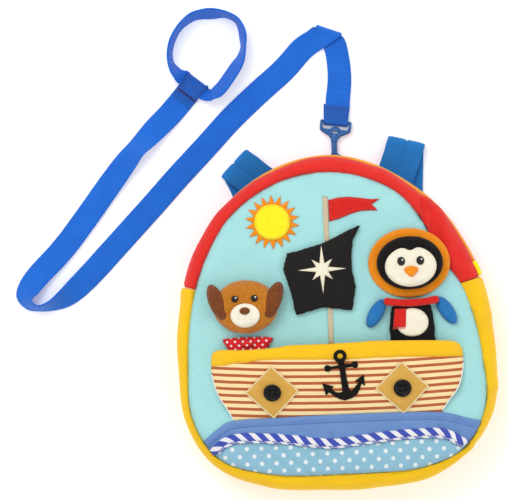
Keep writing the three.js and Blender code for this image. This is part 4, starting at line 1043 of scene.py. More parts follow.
# %% Side wall
ZIP_SHARE = 0.56
ZIP_LEVEL = BACK_LEVEL + ZIP_SHARE * SIDE_DEPTH
ZIP_HALF = 3.2
WALL = [
    (0, 0), (0.3, 0.05), (0.7, 0.2), (0.93, 0.38), (1, ZIP_SHARE), (0.97, 0.76), (0.72, 0.925), (0.3, 0.99),
    (0.06, 0.985), (-0.03, 0.945),
]
WALL_CURVE = [Vector((out, height, 0)) for out, height in WALL]
RED_START, RED_END = 14.6, 165.4
CLOTH = 1.8
WALL_CLOTH = 88.0  # along the whole curve, for the weave
WALL_CELL = 2.2
STEEPEST = math.radians(75)
# Valleys pressed into the wall: x, y at both ends, half width, depth
WALL_FOLDS = [
    (75, 79, 73.5, 95, 2.2, 3.6), (86, 57, 79.5, 89, 4.0, 4.6), (104, 33, 112, 12, 3.4, 2.2),
    (121, -8, 116, -30, 5.0, 1.4), (116, -62, 97, -92, 2.6, 2.4), (126, -66, 112, -104, 4.0, 1.8),
    (66, -118, 40, -126, 4.0, 1.6), (-20, -118, -55, -124, 4.0, 1.4), (-92, -92, -110, -66, 4.0, 1.8),
    (-118, -20, -122, 20, 6.0, 1.2), (-104, 52, -88, 84, 5.0, 1.2), (-10, 122, 30, 124, 6.0, 0.9),
    (-66, 100, -40, 114, 4.0, 1.0),
]


def to_segment(x, y, ax, ay, bx, by):
    """Distance from a point to a line between two points."""
    dx, dy = bx - ax, by - ay
    t = min(max(((x - ax) * dx + (y - ay) * dy) / (dx * dx + dy * dy), 0), 1)
    return math.hypot(x - ax - t * dx, y - ay - t * dy)


def wall_place(height):
    """Where along the wall's curve a share of the depth is reached."""
    low, high = 0.0, (len(WALL) - 3) / (len(WALL) - 1)
    for _ in range(24):
        middle = (low + high) / 2
        if smooth_through(WALL_CURVE, middle).y < height:
            low = middle
        else:
            high = middle
    return low


def wall(degrees, t, seams=()):
    """A point of the wall at an angle and a place along its curve, with folds, gathers and sewn ends."""
    out, height, _ = smooth_through(WALL_CURVE, t)
    widest = on_contour(WIDEST, degrees)
    way = widest.normalized()
    seam = widest - way * BACK_TUCK if height < ZIP_SHARE else on_contour(FRONT_SEAM, degrees)
    spot = seam.lerp(widest, out)
    steep = STEEPEST * (height - ZIP_SHARE) / (1 - ZIP_SHARE if height > ZIP_SHARE else ZIP_SHARE)
    normal = way * math.cos(steep) + Vector((0, 0, math.sin(steep)))
    press = 0.0
    if height > 0.5:
        for ax, ay, bx, by, width, depth in WALL_FOLDS:
            d = to_segment(spot.x, spot.y, ax, ay, bx, by)
            press += depth * (bell(d, width) - 0.35 * bell(d - 2 * width, width))
    arc = math.radians(degrees) * HALF_WIDTH
    gather = ripple(arc / 7, height * 1.3, 2) * 0.7 + ripple(arc / 3, height * 2, 7) * 0.3
    belly = ripple(arc / 34, height * 1.5, 9)
    near_seam = math.exp(-(1 - height) / 0.12) + math.exp(-height / 0.15)
    press += 0.9 * gather * near_seam + 1.3 * belly * (1 - min(near_seam, 1)) * 0.9
    for angle in seams:
        apart = abs((degrees - angle + 180) % 360 - 180) * math.radians(1) * HALF_WIDTH
        press += 1.5 * bell(apart, 1.6) * min(1.0, (1 - height) / 0.08)
    spot = spot - normal * press
    spot.z += BACK_LEVEL + height * SIDE_DEPTH
    return spot


def wall_piece(start, end, t_low, t_high, rows, pull=None):
    """Cloth of the wall between two angles and two places on its curve; pull moves its points."""
    arc = math.radians(end - start) * HALF_WIDTH
    depth = WALL_CLOTH * (t_high - t_low)
    columns = int(arc / WALL_CELL)

    def place(s, t):
        degrees = start + (end - start) * s
        spot = wall(degrees, t_low + (t_high - t_low) * t, (RED_START, RED_END))
        return pull(spot, t) if pull else spot

    return grid_on(place, columns, rows, (arc, depth))


ZIP_SET_IN = 1.2
low_edge = wall_place((ZIP_LEVEL - ZIP_HALF - BACK_LEVEL) / SIDE_DEPTH)
high_edge = wall_place((ZIP_LEVEL + ZIP_HALF - BACK_LEVEL) / SIDE_DEPTH)


def draw_in(at_start):
    """Rolls the edge at the zip inwards, so that the tape shows beyond it."""

    def pull(spot, t):
        near = bell(t if at_start else 1 - t, 0.5)
        way = Vector((spot.x, spot.y, 0)).normalized()
        return spot - way * (ZIP_SET_IN * near)

    return pull


SEAM_GAP = 0.12
red_span, yellow_span = (RED_START, RED_END), (RED_END, RED_START + 360)
red, yellow = (red_cotton, "red_cotton"), (yellow_cotton, "yellow_cotton")
for name, node, (start, end), place, pull, (finish, slot) in (
    ("red_side_back", "gusset_red_back", red_span, (0, low_edge, 18), draw_in(False), red),
    ("red_side_front", "gusset_red_front", red_span, (high_edge, 1, 26), draw_in(True), red),
    ("yellow_side", "gusset_yellow", yellow_span, (0, 1, 44), None, yellow),
):
    bm = wall_piece(start + SEAM_GAP, end - SEAM_GAP, *place, pull)
    flat_area = cloth_area(bm)
    piece = finish_piece(thicken(bm, CLOTH), "sewn_" + name, finish, slot, [node])
    print(name, "area", round(flat_area, 4))

# %% [markdown]
# The panels are grids too. A square grid is bent to the egg-shaped contour by moving each of its squares'
# rings onto a ring of the contour, so the cloth has even cells and no pole in the middle.

# %% Panels
def disc_place(s, t):
    """Angle in degrees and share from 0 to 1, for a point of a square."""
    a, b = 2 * s - 1, 2 * t - 1
    if a == 0 and b == 0:
        return 0.0, 0.0
    if abs(a) > abs(b):
        share, angle = abs(a), (math.pi / 4) * (b / a) + (0 if a > 0 else math.pi)
    else:
        share, angle = abs(b), math.pi / 2 - (math.pi / 4) * (a / b) + (0 if b > 0 else math.pi)
    return math.degrees(angle), share


def panel_place(s, t):
    degrees, share = disc_place(s, t)
    spot = on_contour(FRONT_SEAM, degrees, share * 0.998)
    spot.z = front(spot.x, spot.y)
    return spot


def back_place(s, t):
    degrees, share = disc_place(s, t)
    widest = on_contour(WIDEST, degrees)
    spot = (widest - widest.normalized() * (BACK_TUCK + CLEAR)) * share
    gather = ripple(degrees / 2.4, 3, 0) * math.exp(-(1 - share) * 12)
    spot.z = BACK_LEVEL + 0.2 + 0.3 * (1 - share) + 0.25 * gather
    return spot


PANEL_CELLS, BACK_CELLS = 110, 60
WHOLE_SIZE = (2 * HALF_WIDTH, 2 * HALF_HEIGHT)
bm = grid_on(panel_place, PANEL_CELLS, PANEL_CELLS, WHOLE_SIZE)
panel_area = cloth_area(bm)
bm = thicken(bm, CLOTH)
front_panel = finish_piece(bm, "sewn_front_panel", aqua_canvas, "aqua_canvas", ["front_panel"])
bm = grid_on(back_place, BACK_CELLS, BACK_CELLS, WHOLE_SIZE)
back_area = cloth_area(bm)
bm = thicken(bm, -CLOTH * 0.9)
back_panel = finish_piece(bm, "sewn_back_panel", yellow_cotton, "yellow_cotton", ["back_panel"])
print("panel area", round(panel_area, 4), "back", round(back_area, 4))

# %% [markdown]
# A cotton tape carries the coil of the zip between the two edges of the red wall. From above only its upper
# edge shows, as the orange line round the bag. The coil is hundreds of turns, each a ball of a few faces.

# %% Zip
ZIP_TUCK = 3.0
TAB_LENGTH = 13.0
TOOTH_STEP = 1.5
TOOTH_SIZE = (0.62, 0.62, 1.45)
TOOTH_SHIFT = 0.55


def zip_reach(degrees):
    """Distance of the zip's line from the middle; its left end is tucked under the wall."""
    tuck = min(max((degrees - 100) / 50, 0), 1)
    return on_contour(WIDEST, degrees).length - ZIP_TUCK * tuck * tuck * (3 - 2 * tuck)


def zip_spot(degrees, out=0.0, z=ZIP_LEVEL):
    way = on_contour(WIDEST, degrees).normalized()
    spot = way * (zip_reach(degrees) + out)
    spot.z = z
    return spot, way


def along_zip(start, end, step):
    """Angles between two ends, about a step apart."""
    count = max(2, round(math.radians(end - start) * HALF_WIDTH / step))
    return [start + (end - start) * k / count for k in range(count + 1)]


zip_start, zip_end = RED_START + 0.4, RED_END - 0.4
TAPE_OUTER = [(-5.4, 4.0), (-3.0, 3.8), (-0.6, 3.0), (0.4, 1.6), (0.2, 0.0)]
tape_half = TAPE_OUTER + [(a, -b) for a, b in reversed(TAPE_OUTER[:-1])]
tape_section = tape_half + [(a - 0.9, b * 0.86) for a, b in reversed(tape_half)]
zip_line = [(*zip_spot(degrees), UP, 1.0) for degrees in along_zip(zip_start, zip_end, 2.5)]
finish_piece(sweep(zip_line, tape_section), "woven_zip_tape", zip_cotton, "orange_zip", ["zip_tape"])
tab_span = math.degrees(TAB_LENGTH / HALF_WIDTH)
bm = bmesh.new()
for k, degrees in enumerate(along_zip(zip_start + tab_span, zip_end - tab_span, TOOTH_STEP)):
    spot, way = zip_spot(degrees, 0.3)
    side = UP.cross(way)
    shift = TOOTH_SHIFT if k % 2 else -TOOTH_SHIFT
    basis = Matrix((way, side, UP)).transposed().to_4x4()
    size = Matrix.Diagonal((*TOOTH_SIZE, 1))
    matrix = Matrix.Translation(spot + Vector((0, 0, shift))) @ basis @ size
    bmesh.ops.create_uvsphere(bm, u_segments=6, v_segments=5, radius=1, matrix=matrix)
finish_piece(bm, "moulded_zip_coil", coil_plastic, "zip_teeth", ["zip_teeth"])

# %% [markdown]
# The slider is cast: a body over the coil, a bridge and a short pull. A folded lemon tape covers each end.

# %% Slider and end tabs
SLIDER_ANGLE = 150
slider_spot, slider_way = zip_spot(SLIDER_ANGLE, -0.6)
slider_axes = Matrix((UP.cross(slider_way), UP, slider_way)).transposed()
slider_frame = Matrix.Translation(slider_spot) @ slider_axes.to_4x4()
bm = bmesh.new()
add_block(bm, (-4.5, -2.7, -0.9), (3.2, 2.7, 1.1), 0.7)
add_block(bm, (2.2, -1.2, -0.9), (4.5, 1.2, 1.1), 0.6)
BRIDGE = [(-3, 0.8), (-2.4, 2.1), (-0.8, 2.6), (1, 2.3), (2, 0.8)]
bridge = with_ups([(Vector((x, 0, z)), Vector((0, 1, 0)), 1.0) for x, z in BRIDGE])
add_mesh(bm, sweep(smooth_stations(bridge), round_section(0.75, 8, 0.7)))
bm = fused(bm, 0.25, 2)
finish_piece(bm, "moulded_zip_slider", coil_plastic, "orange_zip", ["zip_slider"], slider_frame)

# Outwards and upwards: the tab leans on the wall above the zip and covers the tape's end to its low edge.
TAB_SECTION = [
    (-4.0, 0.0), (0.5, 3.3), (3.4, 4.9), (4.9, 4.8), (5.8, 3.9), (6.4, 2.4), (6.6, -3.0), (6.3, -10.0),
    (5.2, -11.2), (-1.6, -11.4),
]
TAB_OUT, TAB_RISE = -5.3, 6.2
for side, start in (("right", zip_start), ("left", zip_end - tab_span)):
    stations = []
    for k in range(15):
        t = k / 14
        spot, way = zip_spot(start + tab_span * t, TAB_OUT, ZIP_LEVEL + TAB_RISE)
        swell = 1 - 0.16 * bell(t, 0.1) - 0.16 * bell(1 - t, 0.1)
        crumple = 0.35 * ripple(t * 4, start, 2)
        upright = Vector((0, 0, swell * (1 + 0.05 * math.sin(9 * t))))
        stations.append((spot + Vector((0, 0, crumple)), way, upright, swell))
    bm = sweep(stations, TAB_SECTION)
    finish_piece(bm, "sewn_zip_tab_" + side, lemon_cotton, "lemon_tab", ["zip_tab_" + side])

# %% [markdown]
# Each shoulder strap is two layers of cotton sewn along the middle. It leaves the back seam, folds over
# softly beyond the bag's edge and runs back underneath to the bottom corner.

# %% Shoulder straps
STRAP_WIDTH, STRAP_THICKNESS, STRAP_FOLD_RISE, STRAP_ROOT = 31.0, 3.5, 3.6, 16.0
STRAPS = [
    ("left", 113.5, 141, 129, 41.5, [(-0.5, 0.78), (-0.46, 0.5), (-0.47, 0), (-0.56, -0.5), (-0.7, -0.8)]),
    ("right", 63.6, 70, 80, 48.5, [(0.46, 0.78), (0.45, 0.5), (0.47, 0), (0.56, -0.5), (0.7, -0.8)]),
]


def strap_points(at, heading, fold_heading, length, lower):
    half = STRAP_THICKNESS / 2
    widest = on_contour(WIDEST, at)
    seam = widest - widest.normalized() * BACK_TUCK
    out = flat_across(heading)
    fold_radius = (STRAP_THICKNESS + STRAP_FOLD_RISE) / 2
    start, end = seam + out * STRAP_ROOT, seam + out * length
    points = []
    upper_low = STRAP_THICKNESS + 2 * CLEAR
    for t in (0, 0.5, 0.85):
        spot = start.lerp(end, t)
        rise = (2 * fold_radius - upper_low) * math.sin(t * math.pi / 2)
        spot.z = upper_low + half + rise
        points.append((spot, flat_across(heading - 90), STRAP_WIDTH))
    for k in range(7):
        angle = math.pi / 2 - k * math.pi / 6
        spot = end + out * (fold_radius * math.cos(angle))
        spot.z = half + fold_radius + fold_radius * math.sin(angle)
        turn = heading - 90 + (fold_heading - heading) * k / 6
        points.append((spot, flat_across(turn), STRAP_WIDTH))
    route = [end.copy()] + [Vector((x * HALF_WIDTH, y * HALF_HEIGHT, 0)) for x, y in lower]
    for k in range(1, 9):
        spot = smooth_through(route, k / 8)
        way = smooth_through(route, min(k / 8 + 0.02, 1)) - smooth_through(route, k / 8 - 0.02)
        spot.z = half
        points.append((spot, flat_across(math.degrees(math.atan2(way.y, way.x)) + 90), STRAP_WIDTH))
    return points


def strap_section():
    """Two padded halves either side of the seam, as (share of the width, height), edges rounded."""
    half, thick = STRAP_WIDTH / 2, STRAP_THICKNESS / 2
    top = []
    for k in range(-14, 15):
        a = k / 14
        pillow = 1 - 0.6 * bell(a, 0.07) - 0.3 * abs(a) ** 6
        top.append((a * (half - 0.9) / STRAP_WIDTH, thick * pillow))
    rim = half / STRAP_WIDTH
    edge = [(rim * 0.985, thick * 0.45), (rim, 0.0), (rim * 0.985, -thick * 0.45)]
    return top + edge + [(a, -b) for a, b in reversed(top)] + [(-a, -b) for a, b in edge]


strap_thread = thread("strap thread", "#1F5C9A", "#123F70")
for side, *facts in STRAPS:
    stations = smooth_stations(with_ups(strap_points(*facts)), 5)
    wrinkled = []
    for k, (middle, across, up, width) in enumerate(stations):
        wave = 0.25 * ripple(k / 5, len(side), 1)
        wrinkled.append((middle + across * wave * 1.5, across, up, width * (1 + 0.012 * wave)))
    length = route_length(stations)
    bm = bmesh.new()
    visible = [middle + up * (STRAP_THICKNESS * 0.22) for middle, _, up, _ in wrinkled[:36]]
    sew(bm, visible, length=2.2, gap=0.5, radius=0.35)
    finish_piece(bm, "strap_seam_stitches_" + side, strap_thread, "teal_strap")
    piece = finish_piece(
        sweep(wrinkled, strap_section()), "sewn_strap_" + side, strap_cotton.material, "teal_strap",
        ["shoulder_strap_" + side],
    )
    print("strap", side, round(length, 3), "m")

# %% Loop for the snap hook
LOOP_REACH, LOOP_WIDTH = 16.0, 12.0
loop_low, loop_high = CLEAR, CLEAR + 2 * LOOP_CLOTH + 2 * CLEAR + HOOK_WIRE
loop_end = TOP_SEAM + LOOP_REACH
half_cloth = LOOP_CLOTH / 2
loop_line = [
    (TOP_SEAM - LOOP_ROOT, loop_low + half_cloth + LOOP_CLOTH + 0.1), (TOP_SEAM + 2.5, loop_high - 1.6),
    (TOP_SEAM + LOOP_ROOT + 1, loop_high - half_cloth), (loop_end - 3, loop_high - half_cloth),
    (loop_end - half_cloth, (loop_low + loop_high) / 2), (loop_end - 3, loop_low + half_cloth),
    (TOP_SEAM + LOOP_ROOT, loop_low + half_cloth), (TOP_SEAM + 1, loop_low + half_cloth),
    (TOP_SEAM - LOOP_ROOT, loop_low + half_cloth),
]
hook_loop = [(Vector((HOOK_X, y, z)), Vector((1, 0, 0)), LOOP_WIDTH) for y, z in loop_line]
anchor_section = [(a / LOOP_WIDTH, b) for a, b in band_section(LOOP_WIDTH, LOOP_CLOTH, selvedge=0.08)]
bm = sweep(smooth_stations(with_ups(hook_loop)), anchor_section)
finish_piece(bm, "woven_anchor_loop", blue_webbing, "blue_webbing", ["rein_anchor_loop"])

# %% [markdown]
# Everything on the front is cut to an outline and laid on a surface. The outline becomes one flat face, which
# is inset for a rounded edge and sliced into small cells, then draped, given its thickness and closed.

# %% A closed slab cut to an outline
def from_outline(outline, spots):
    """Distance of each spot (an array of x, y) from the outline's line."""
    a = np.array(outline, float)
    b = np.roll(a, -1, axis=0)
    way = b - a
    rel = spots[:, None, :] - a[None]
    t = np.clip((rel * way).sum(2) / np.maximum((way * way).sum(1), 1e-9), 0, 1)
    return np.hypot(*(rel - t[..., None] * way).transpose(2, 0, 1)).min(1)


def flat_cells(outline, cell, rim):
    """One face over an outline, with a narrow rim and square cells inside it."""
    bm = bmesh.new()
    bm.faces.new([bm.verts.new((x, y, 0)) for x, y in outline])
    faced_out(bm)
    for width in rim:
        inner = [max(bm.faces, key=lambda face: face.calc_area())]
        bmesh.ops.inset_region(bm, faces=inner, thickness=width, use_even_offset=True)
    for axis in (0, 1):
        values = [point[axis] for point in outline]
        count = int((max(values) - min(values)) / cell)
        for k in range(1, count + 1):
            spot = [0, 0, 0]
            spot[axis] = min(values) + (max(values) - min(values)) * k / (count + 1)
            normal = [float(i == axis) for i in range(3)]
            geom = bm.verts[:] + bm.edges[:] + bm.faces[:]
            bmesh.ops.bisect_plane(bm, geom=geom, dist=1e-4, plane_co=spot, plane_no=normal)
    return bm


def slab(outline, base, thickness, edge=0.6, cell=3.0, rim=(0.3,), relief=None, pattern=None):
    """A closed piece on base(x, y), its upper edge rounded over `edge` mm; relief(x, y, d) raises its top."""
    bm = flat_cells(outline, cell, rim)
    uv = bm.loops.layers.uv.new("cloth")
    for face in bm.faces:
        for loop in face.loops:
            x, y = loop.vert.co.xy
            loop[uv].uv = pattern(x, y) if pattern else (x, y)
    spots = np.array([vert.co.xy for vert in bm.verts], float)
    depths = from_outline(outline, spots)
    known = {(round(x, 4), round(y, 4)): d for (x, y), d in zip(spots, depths)}
    raised = bmesh.ops.extrude_face_region(bm, geom=bm.faces[:], use_keep_orig=True)
    top = {part for part in raised["geom"] if isinstance(part, bmesh.types.BMVert)}
    for vert in bm.verts:
        x, y = vert.co.x, vert.co.y
        level = base(x, y)
        if vert in top:
            d = known.get((round(x, 4), round(y, 4)), 0.0)
            share = min(d / edge, 1.0)
            level += thickness * (0.3 + 0.7 * math.sqrt(max(0.0, 1 - (1 - share) ** 2)))
            if relief:
                level += relief(x, y, d)
        vert.co.z = level
    return faced_out(bm)


def smooth_line(points, closed=True, per=4):
    """A smooth line through points (x, y), with `per` steps between them."""
    count = len(points)
    spans = count if closed else count - 1

    def at(k):
        return Vector(points[k % count] if closed else points[min(max(k, 0), count - 1)])

    line = []
    for i in range(spans):
        around = [at(i + k) for k in (-1, 0, 1, 2)]
        line += [tuple(curve_value(*around, j / per)) for j in range(per)]
    return line if closed else line + [tuple(points[-1])]


def shares(points, width, height, x=0.0, y=0.0):
    """Points given as shares of a width and a height about a middle."""
    return [(x + px * width, y + py * height) for px, py in points]


def oval(x, y, rx, ry, turn=0.0, count=40):
    c, s = math.cos(math.radians(turn)), math.sin(math.radians(turn))
    spots = [(rx * a, ry * b) for a, b in unit_circle(count)]
    return [(x + a * c - b * s, y + a * s + b * c) for a, b in spots]


def seam_arc(start, end, inset=1.6, step=3.0):
    """The front seam's line between two angles."""
    count = max(2, int(abs(end - start) / step))
    line = []
    for k in range(count + 1):
        spot = on_contour(FRONT_SEAM, start + (end - start) * k / count)
        spot -= spot.normalized() * inset
        line.append((spot.x, spot.y))
    return line


def offset_line(points, distance, closed=False):
    """A line moved sideways, to its left for a positive distance."""
    moved = []
    count = len(points)
    for i, (x, y) in enumerate(points):
        before = points[i - 1] if closed or i else points[0]
        after = points[(i + 1) % count] if closed or i < count - 1 else points[-1]
        dx, dy = after[0] - before[0], after[1] - before[1]
        length = math.hypot(dx, dy) or 1.0
        moved.append((x - dy / length * distance, y + dx / length * distance))
    return moved


def as_vectors(line, closed=False):
    spots = [Vector((x, y, 0)) for x, y in line]
    return spots + spots[:1] if closed else spots


# %% [markdown]
# The sea is three layers: a plain wave with a seam under its crest, a dotted wave in front of it, and between
# them a bias binding with slanted stripes. Its stripes follow its own UV, which runs along the binding.

# %% Finishes of the waves
FELT = 1.2
plain_wave = cotton("plain wave", "#7497CE", "#5B80BC", thread=0.7).material


def striped_binding():
    finish = cotton("striped binding", "#4557BC", "#34459F", thread=0.7, coords="UV")
    slant = finish.bands(8.2, "Y", 0.0, finish.stretched(1, 1, 1, math.radians(-45)))
    finish.print_over(finish.between(slant, 0.56, 0.63), linear("#ECEAEE"))
    return finish.material


def dotted(name, colour, shade, spacing, dot, spot_colour="#F7FAFC"):
    """Dots in staggered rows, painted by the distance to the nearest of two grids of points."""
    finish = cotton(name, colour, shade, thread=0.7)
    apart = []
    for shift in (0.0, 0.5):
        made = finish.node("ShaderNodeMapping")
        scale = (1 / spacing[0], 1 / spacing[1], 0)
        rows = finish.read(made, "Vector", Vector=finish.mm, Scale=scale, Location=(shift, shift, 0))
        centred = finish.vectors("SUBTRACT", finish.vectors("FRACTION", rows), (0.5, 0.5, 0))
        apart.append(finish.vectors("LENGTH", centred, output="Value"))
    radius = dot / 2 / spacing[0]
    ink = finish.between(finish.math("MINIMUM", *apart), radius * 1.25, radius * 0.8)
    finish.print_over(ink, linear(spot_colour))
    return finish.material


dotted_wave = dotted("dotted wave", "#97C6DA", "#80B3CA", (11.9, 12.6), 3.2, "#E9F0EF")
binding_cotton = striped_binding()
white_thread = thread("white thread", "#FDFDFB", "#D9D9D6")
# the crest seam's thread, darker than the plain wave: its colour paints the shadow in the seam
seam_shadow_thread = thread("wave thread", "#4A74C4", "#3258A6")

# %% Waves
WAVE_HEIGHT = 49.0
BOTTOM_SEAM = -HALF_HEIGHT * CONTOUR[18][FRONT_SEAM]
WAVE_CREST = [
    (-1.06, 0.3), (-0.88, 0.64), (-0.78, 0.85), (-0.68, 0.975), (-0.4, 1.0), (0.02, 1.01), (0.4, 1.0),
    (0.63, 0.97), (0.78, 0.86), (0.9, 0.77), (1.06, 0.55),
]
BINDING_LINE = [
    (-1.06, -0.3), (-0.83, 0.42), (-0.74, 0.64), (-0.64, 0.7), (-0.47, 0.68), (-0.32, 0.64), (-0.09, 0.55),
    (0.1, 0.585), (0.3, 0.635), (0.45, 0.655), (0.59, 0.65), (0.665, 0.605), (0.73, 0.5), (0.79, 0.36),
    (1.0, -0.4),
]
BINDING_WIDTH = 6.4
CREST_SEAM = 6.2
SEAM_INSET = 0.4


def wave_line(table):
    """The line across the panel, cut where it meets the seam and thinned to one point every 3 mm."""
    points = smooth_line(shares(table, HALF_WIDTH, WAVE_HEIGHT, 0, BOTTOM_SEAM), closed=False, per=60)
    inside = [
        Vector((x, y, 0)) for x, y in points
        if math.hypot(x, y) < on_contour(FRONT_SEAM, contour_angle(x, y)).length - SEAM_INSET
    ]
    return [tuple(spot.xy) for spot, _ in walk(inside, 3.0)] + [tuple(inside[-1].xy)]


def sea_outline(line):
    """The line, closed by the bottom seam from its right end round to its left end."""
    start = contour_angle(*line[-1])
    end = contour_angle(*line[0])
    return line + seam_arc(start, end if end < start else end - 360, SEAM_INSET)[1:-1]


# Folds pressed into the plain wave and into the dotted one: x, y at both ends, half width, depth
WAVE_FOLDS = [
    (100, -86, 84, -79, 1.3, 1.2), (96, -84, 92, -96, 1.2, 1.4), (-10, -90, -6, -99, 1.0, 1.5),
    (8, -92, 16, -84, 1.2, 0.7), (-84, -92, -60, -86, 1.4, 0.9), (52, -87, 60, -94, 1.2, 0.8),
    (-40, -88, -44, -99, 1.3, 0.9),
]
DOTTED_FOLDS = [
    (-66, -100, -44, -120, 2.0, 1.8), (-56, -98, -30, -121, 1.7, 1.6), (-78, -104, -62, -114, 1.6, 1.2),
    (-24, -104, -12, -122, 1.8, 1.0), (30, -100, 44, -118, 2.2, 1.0), (74, -98, 60, -112, 2.0, 1.1),
]
crest = wave_line(WAVE_CREST)
binding = wave_line(BINDING_LINE)
crest_array = np.array(crest)


def pressed(x, y, folds):
    """Depth of the folds at a point."""
    return sum(depth * bell(to_segment(x, y, *ends), width) for *ends, width, depth in folds)


def crest_relief(x, y, d):
    """A rolled crest, a stitched groove under it and creases that run down from the seam."""
    below = float(np.hypot(crest_array[:, 0] - x, crest_array[:, 1] - y).min())
    roll = bell(below - 2.4, 2.0)
    groove = 1.1 * bell(below - CREST_SEAM, 1.1)
    crease = 1.5 * ripple(x / 7, y / 30, 3) * min(1.0, below / 8)
    return roll - groove + crease - pressed(x, y, WAVE_FOLDS)


def wave_base(x, y):
    """On the panel, and over the foot of the boat between its two sides."""
    on_boat = min(max((86 - abs(x + 4)) / 8, 0.0), 1.0)
    return front(x, y) + CLEAR + 1.4 * on_boat


back_low = offset_line(binding, -1.2)
back_right = seam_arc(contour_angle(*crest[-1]), contour_angle(*back_low[-1]), SEAM_INSET)[1:-1]
back_left = seam_arc(contour_angle(*back_low[0]), contour_angle(*crest[0]), SEAM_INSET)[1:-1]
back_edge = crest + back_right + back_low[::-1] + back_left
bm = slab(back_edge, wave_base, 1.5, 1.2, 1.7, (0.3, 0.6), crest_relief)
wave_top = top_of(bm)
finish_piece(bm, "sewn_wave_back", plain_wave, "wave_cotton", ["wave_back"])


def front_relief(x, y, d):
    """Padding and the gathers of the front wave, strongest along its seams."""
    puff = 1.6 * (1 - math.exp(-d / 9))
    gather = ripple(x / 5.5, y / 16, 8) * math.exp(-d / 12)
    fold = ripple((x + 0.7 * y) / 15, (y - 0.7 * x) / 40, 5)
    return puff + 1.2 * gather + 1.5 * fold * min(1, d / 5) - pressed(x, y, DOTTED_FOLDS)


front_edge = offset_line(binding, -BINDING_WIDTH * 0.35)
bm = slab(sea_outline(front_edge), lifted(0.9, front), 1.4, 2.0, 1.9, (0.4, 0.9), front_relief)
finish_piece(bm, "sewn_wave_front", dotted_wave, "dotted_cotton", ["wave_front"])


def line_stations(line, base, width, step=2.0):
    """Stations along a line on a surface, level across."""
    stations = []
    for spot, way in walk(as_vectors(line), step):
        side = Vector((way.y, -way.x, 0)).normalized()
        spot.z = base(spot.x, spot.y)
        stations.append((spot, side, width))
    return with_ups(stations)


binding_section = [(a / 2, 1.5 * b) for a, b in unit_circle(16)]
BINDING_LIFT, FLANGE_LIFT = 4.0, 4.2
crumpled = []
along_binding = line_stations(binding, lifted(BINDING_LIFT, front), BINDING_WIDTH)
for k, (middle, across, up, width) in enumerate(along_binding):
    tilt = Matrix.Rotation(0.25 * ripple(k / 4, 1, 1), 3, across.cross(up))
    crumpled.append((middle, tilt @ across, tilt @ up, width * (1 + 0.14 * ripple(k / 5, 3, 2))))
bm = sweep(crumpled, binding_section)
finish_piece(bm, "sewn_wave_binding", binding_cotton, "striped_piping", ["wave_binding"])
# the flange of the binding, sewn down with a white zigzag, and the seam under the crest, whose stitches are
# darker than the wave to paint the shadow in the seam
flange = offset_line(binding, -BINDING_WIDTH * 0.6)[1:-1]
flange_section = [(a / 2, 0.5 * b) for a, b in unit_circle(10)]
bm = sweep(line_stations(flange, lifted(FLANGE_LIFT, front), 2.6), flange_section)
finish_piece(bm, "sewn_binding_flange", binding_cotton, "striped_piping")
bm = bmesh.new()
for turn, shift in ((0.7, 0.0), (-0.7, 1.3)):
    zigzag = as_vectors(offset_line(flange, -0.2))
    zigzag[0] = zigzag[0] + (zigzag[1] - zigzag[0]) * (shift / 3)
    sew(bm, zigzag, length=2.0, gap=0.6, radius=0.22, base=lifted(FLANGE_LIFT + 0.55, front), turn=turn)
finish_piece(bm, "zigzag_binding_stitches", white_thread, "striped_piping")
bm = bmesh.new()
seam = as_vectors(offset_line(crest, -CREST_SEAM)[1:-1])
sew(bm, seam, length=2.4, gap=0.3, radius=0.3, base=lifted(0.1, wave_top))
finish_piece(bm, "crest_seam_stitches_and_shadow", seam_shadow_thread, "wave_cotton")

# %% [markdown]
# The boat is a pocket sewn round its sides and its bottom, so it stands off the panel and its mouth is open.
# Its level is a function, and everything sewn on the boat is draped on the same function.

# %% Finishes of the boat
STRIPE_STEP = 5.45


def striped_hull():
    finish = cotton("striped hull", "#FFE9B4", "#F6D898", thread=0.6, coords="UV", weave=0.08, slub=0.15)
    brown = finish.between(finish.bands(STRIPE_STEP, "Y", 0.25), 0.53, 0.66)
    dyed = finish.mix(finish.noise(1.2, 3), linear("#B05830"), linear("#BF683E"))
    finish.print_over(brown, dyed)
    return finish.material


hull_cotton = striped_hull()
tan_felt = felt("tan felt", "#E2B257", "#CF9A40")
black_felt = felt("black felt", "#1D1B17", "#0C0B09", sheen=0.04)
cream_felt = felt("cream felt", "#FBF5E2", "#E9E0C8")
orange_felt = felt("orange felt", "#FB9A1E", "#EE8410")
sun_felt = felt("sun felt", "#FFF42A", "#F8E010")
red_felt = felt("red felt", "#E02A22", "#C21814")
cream_thread = thread("cream thread", "#FFF1C4", "#EBCF8C")
yellow_thread = thread("yellow thread", "#FFC928", "#E09C0C")
red_thread = thread("red thread", "#F4524A", "#C42420")
orange_thread = thread("orange thread", "#FFB040", "#E07E10")
black_thread = thread("black thread", "#121110", "#040404", sheen=0.03)
button_plastic = plastic("button plastic", "#121214", "#060607", gloss=0.2)

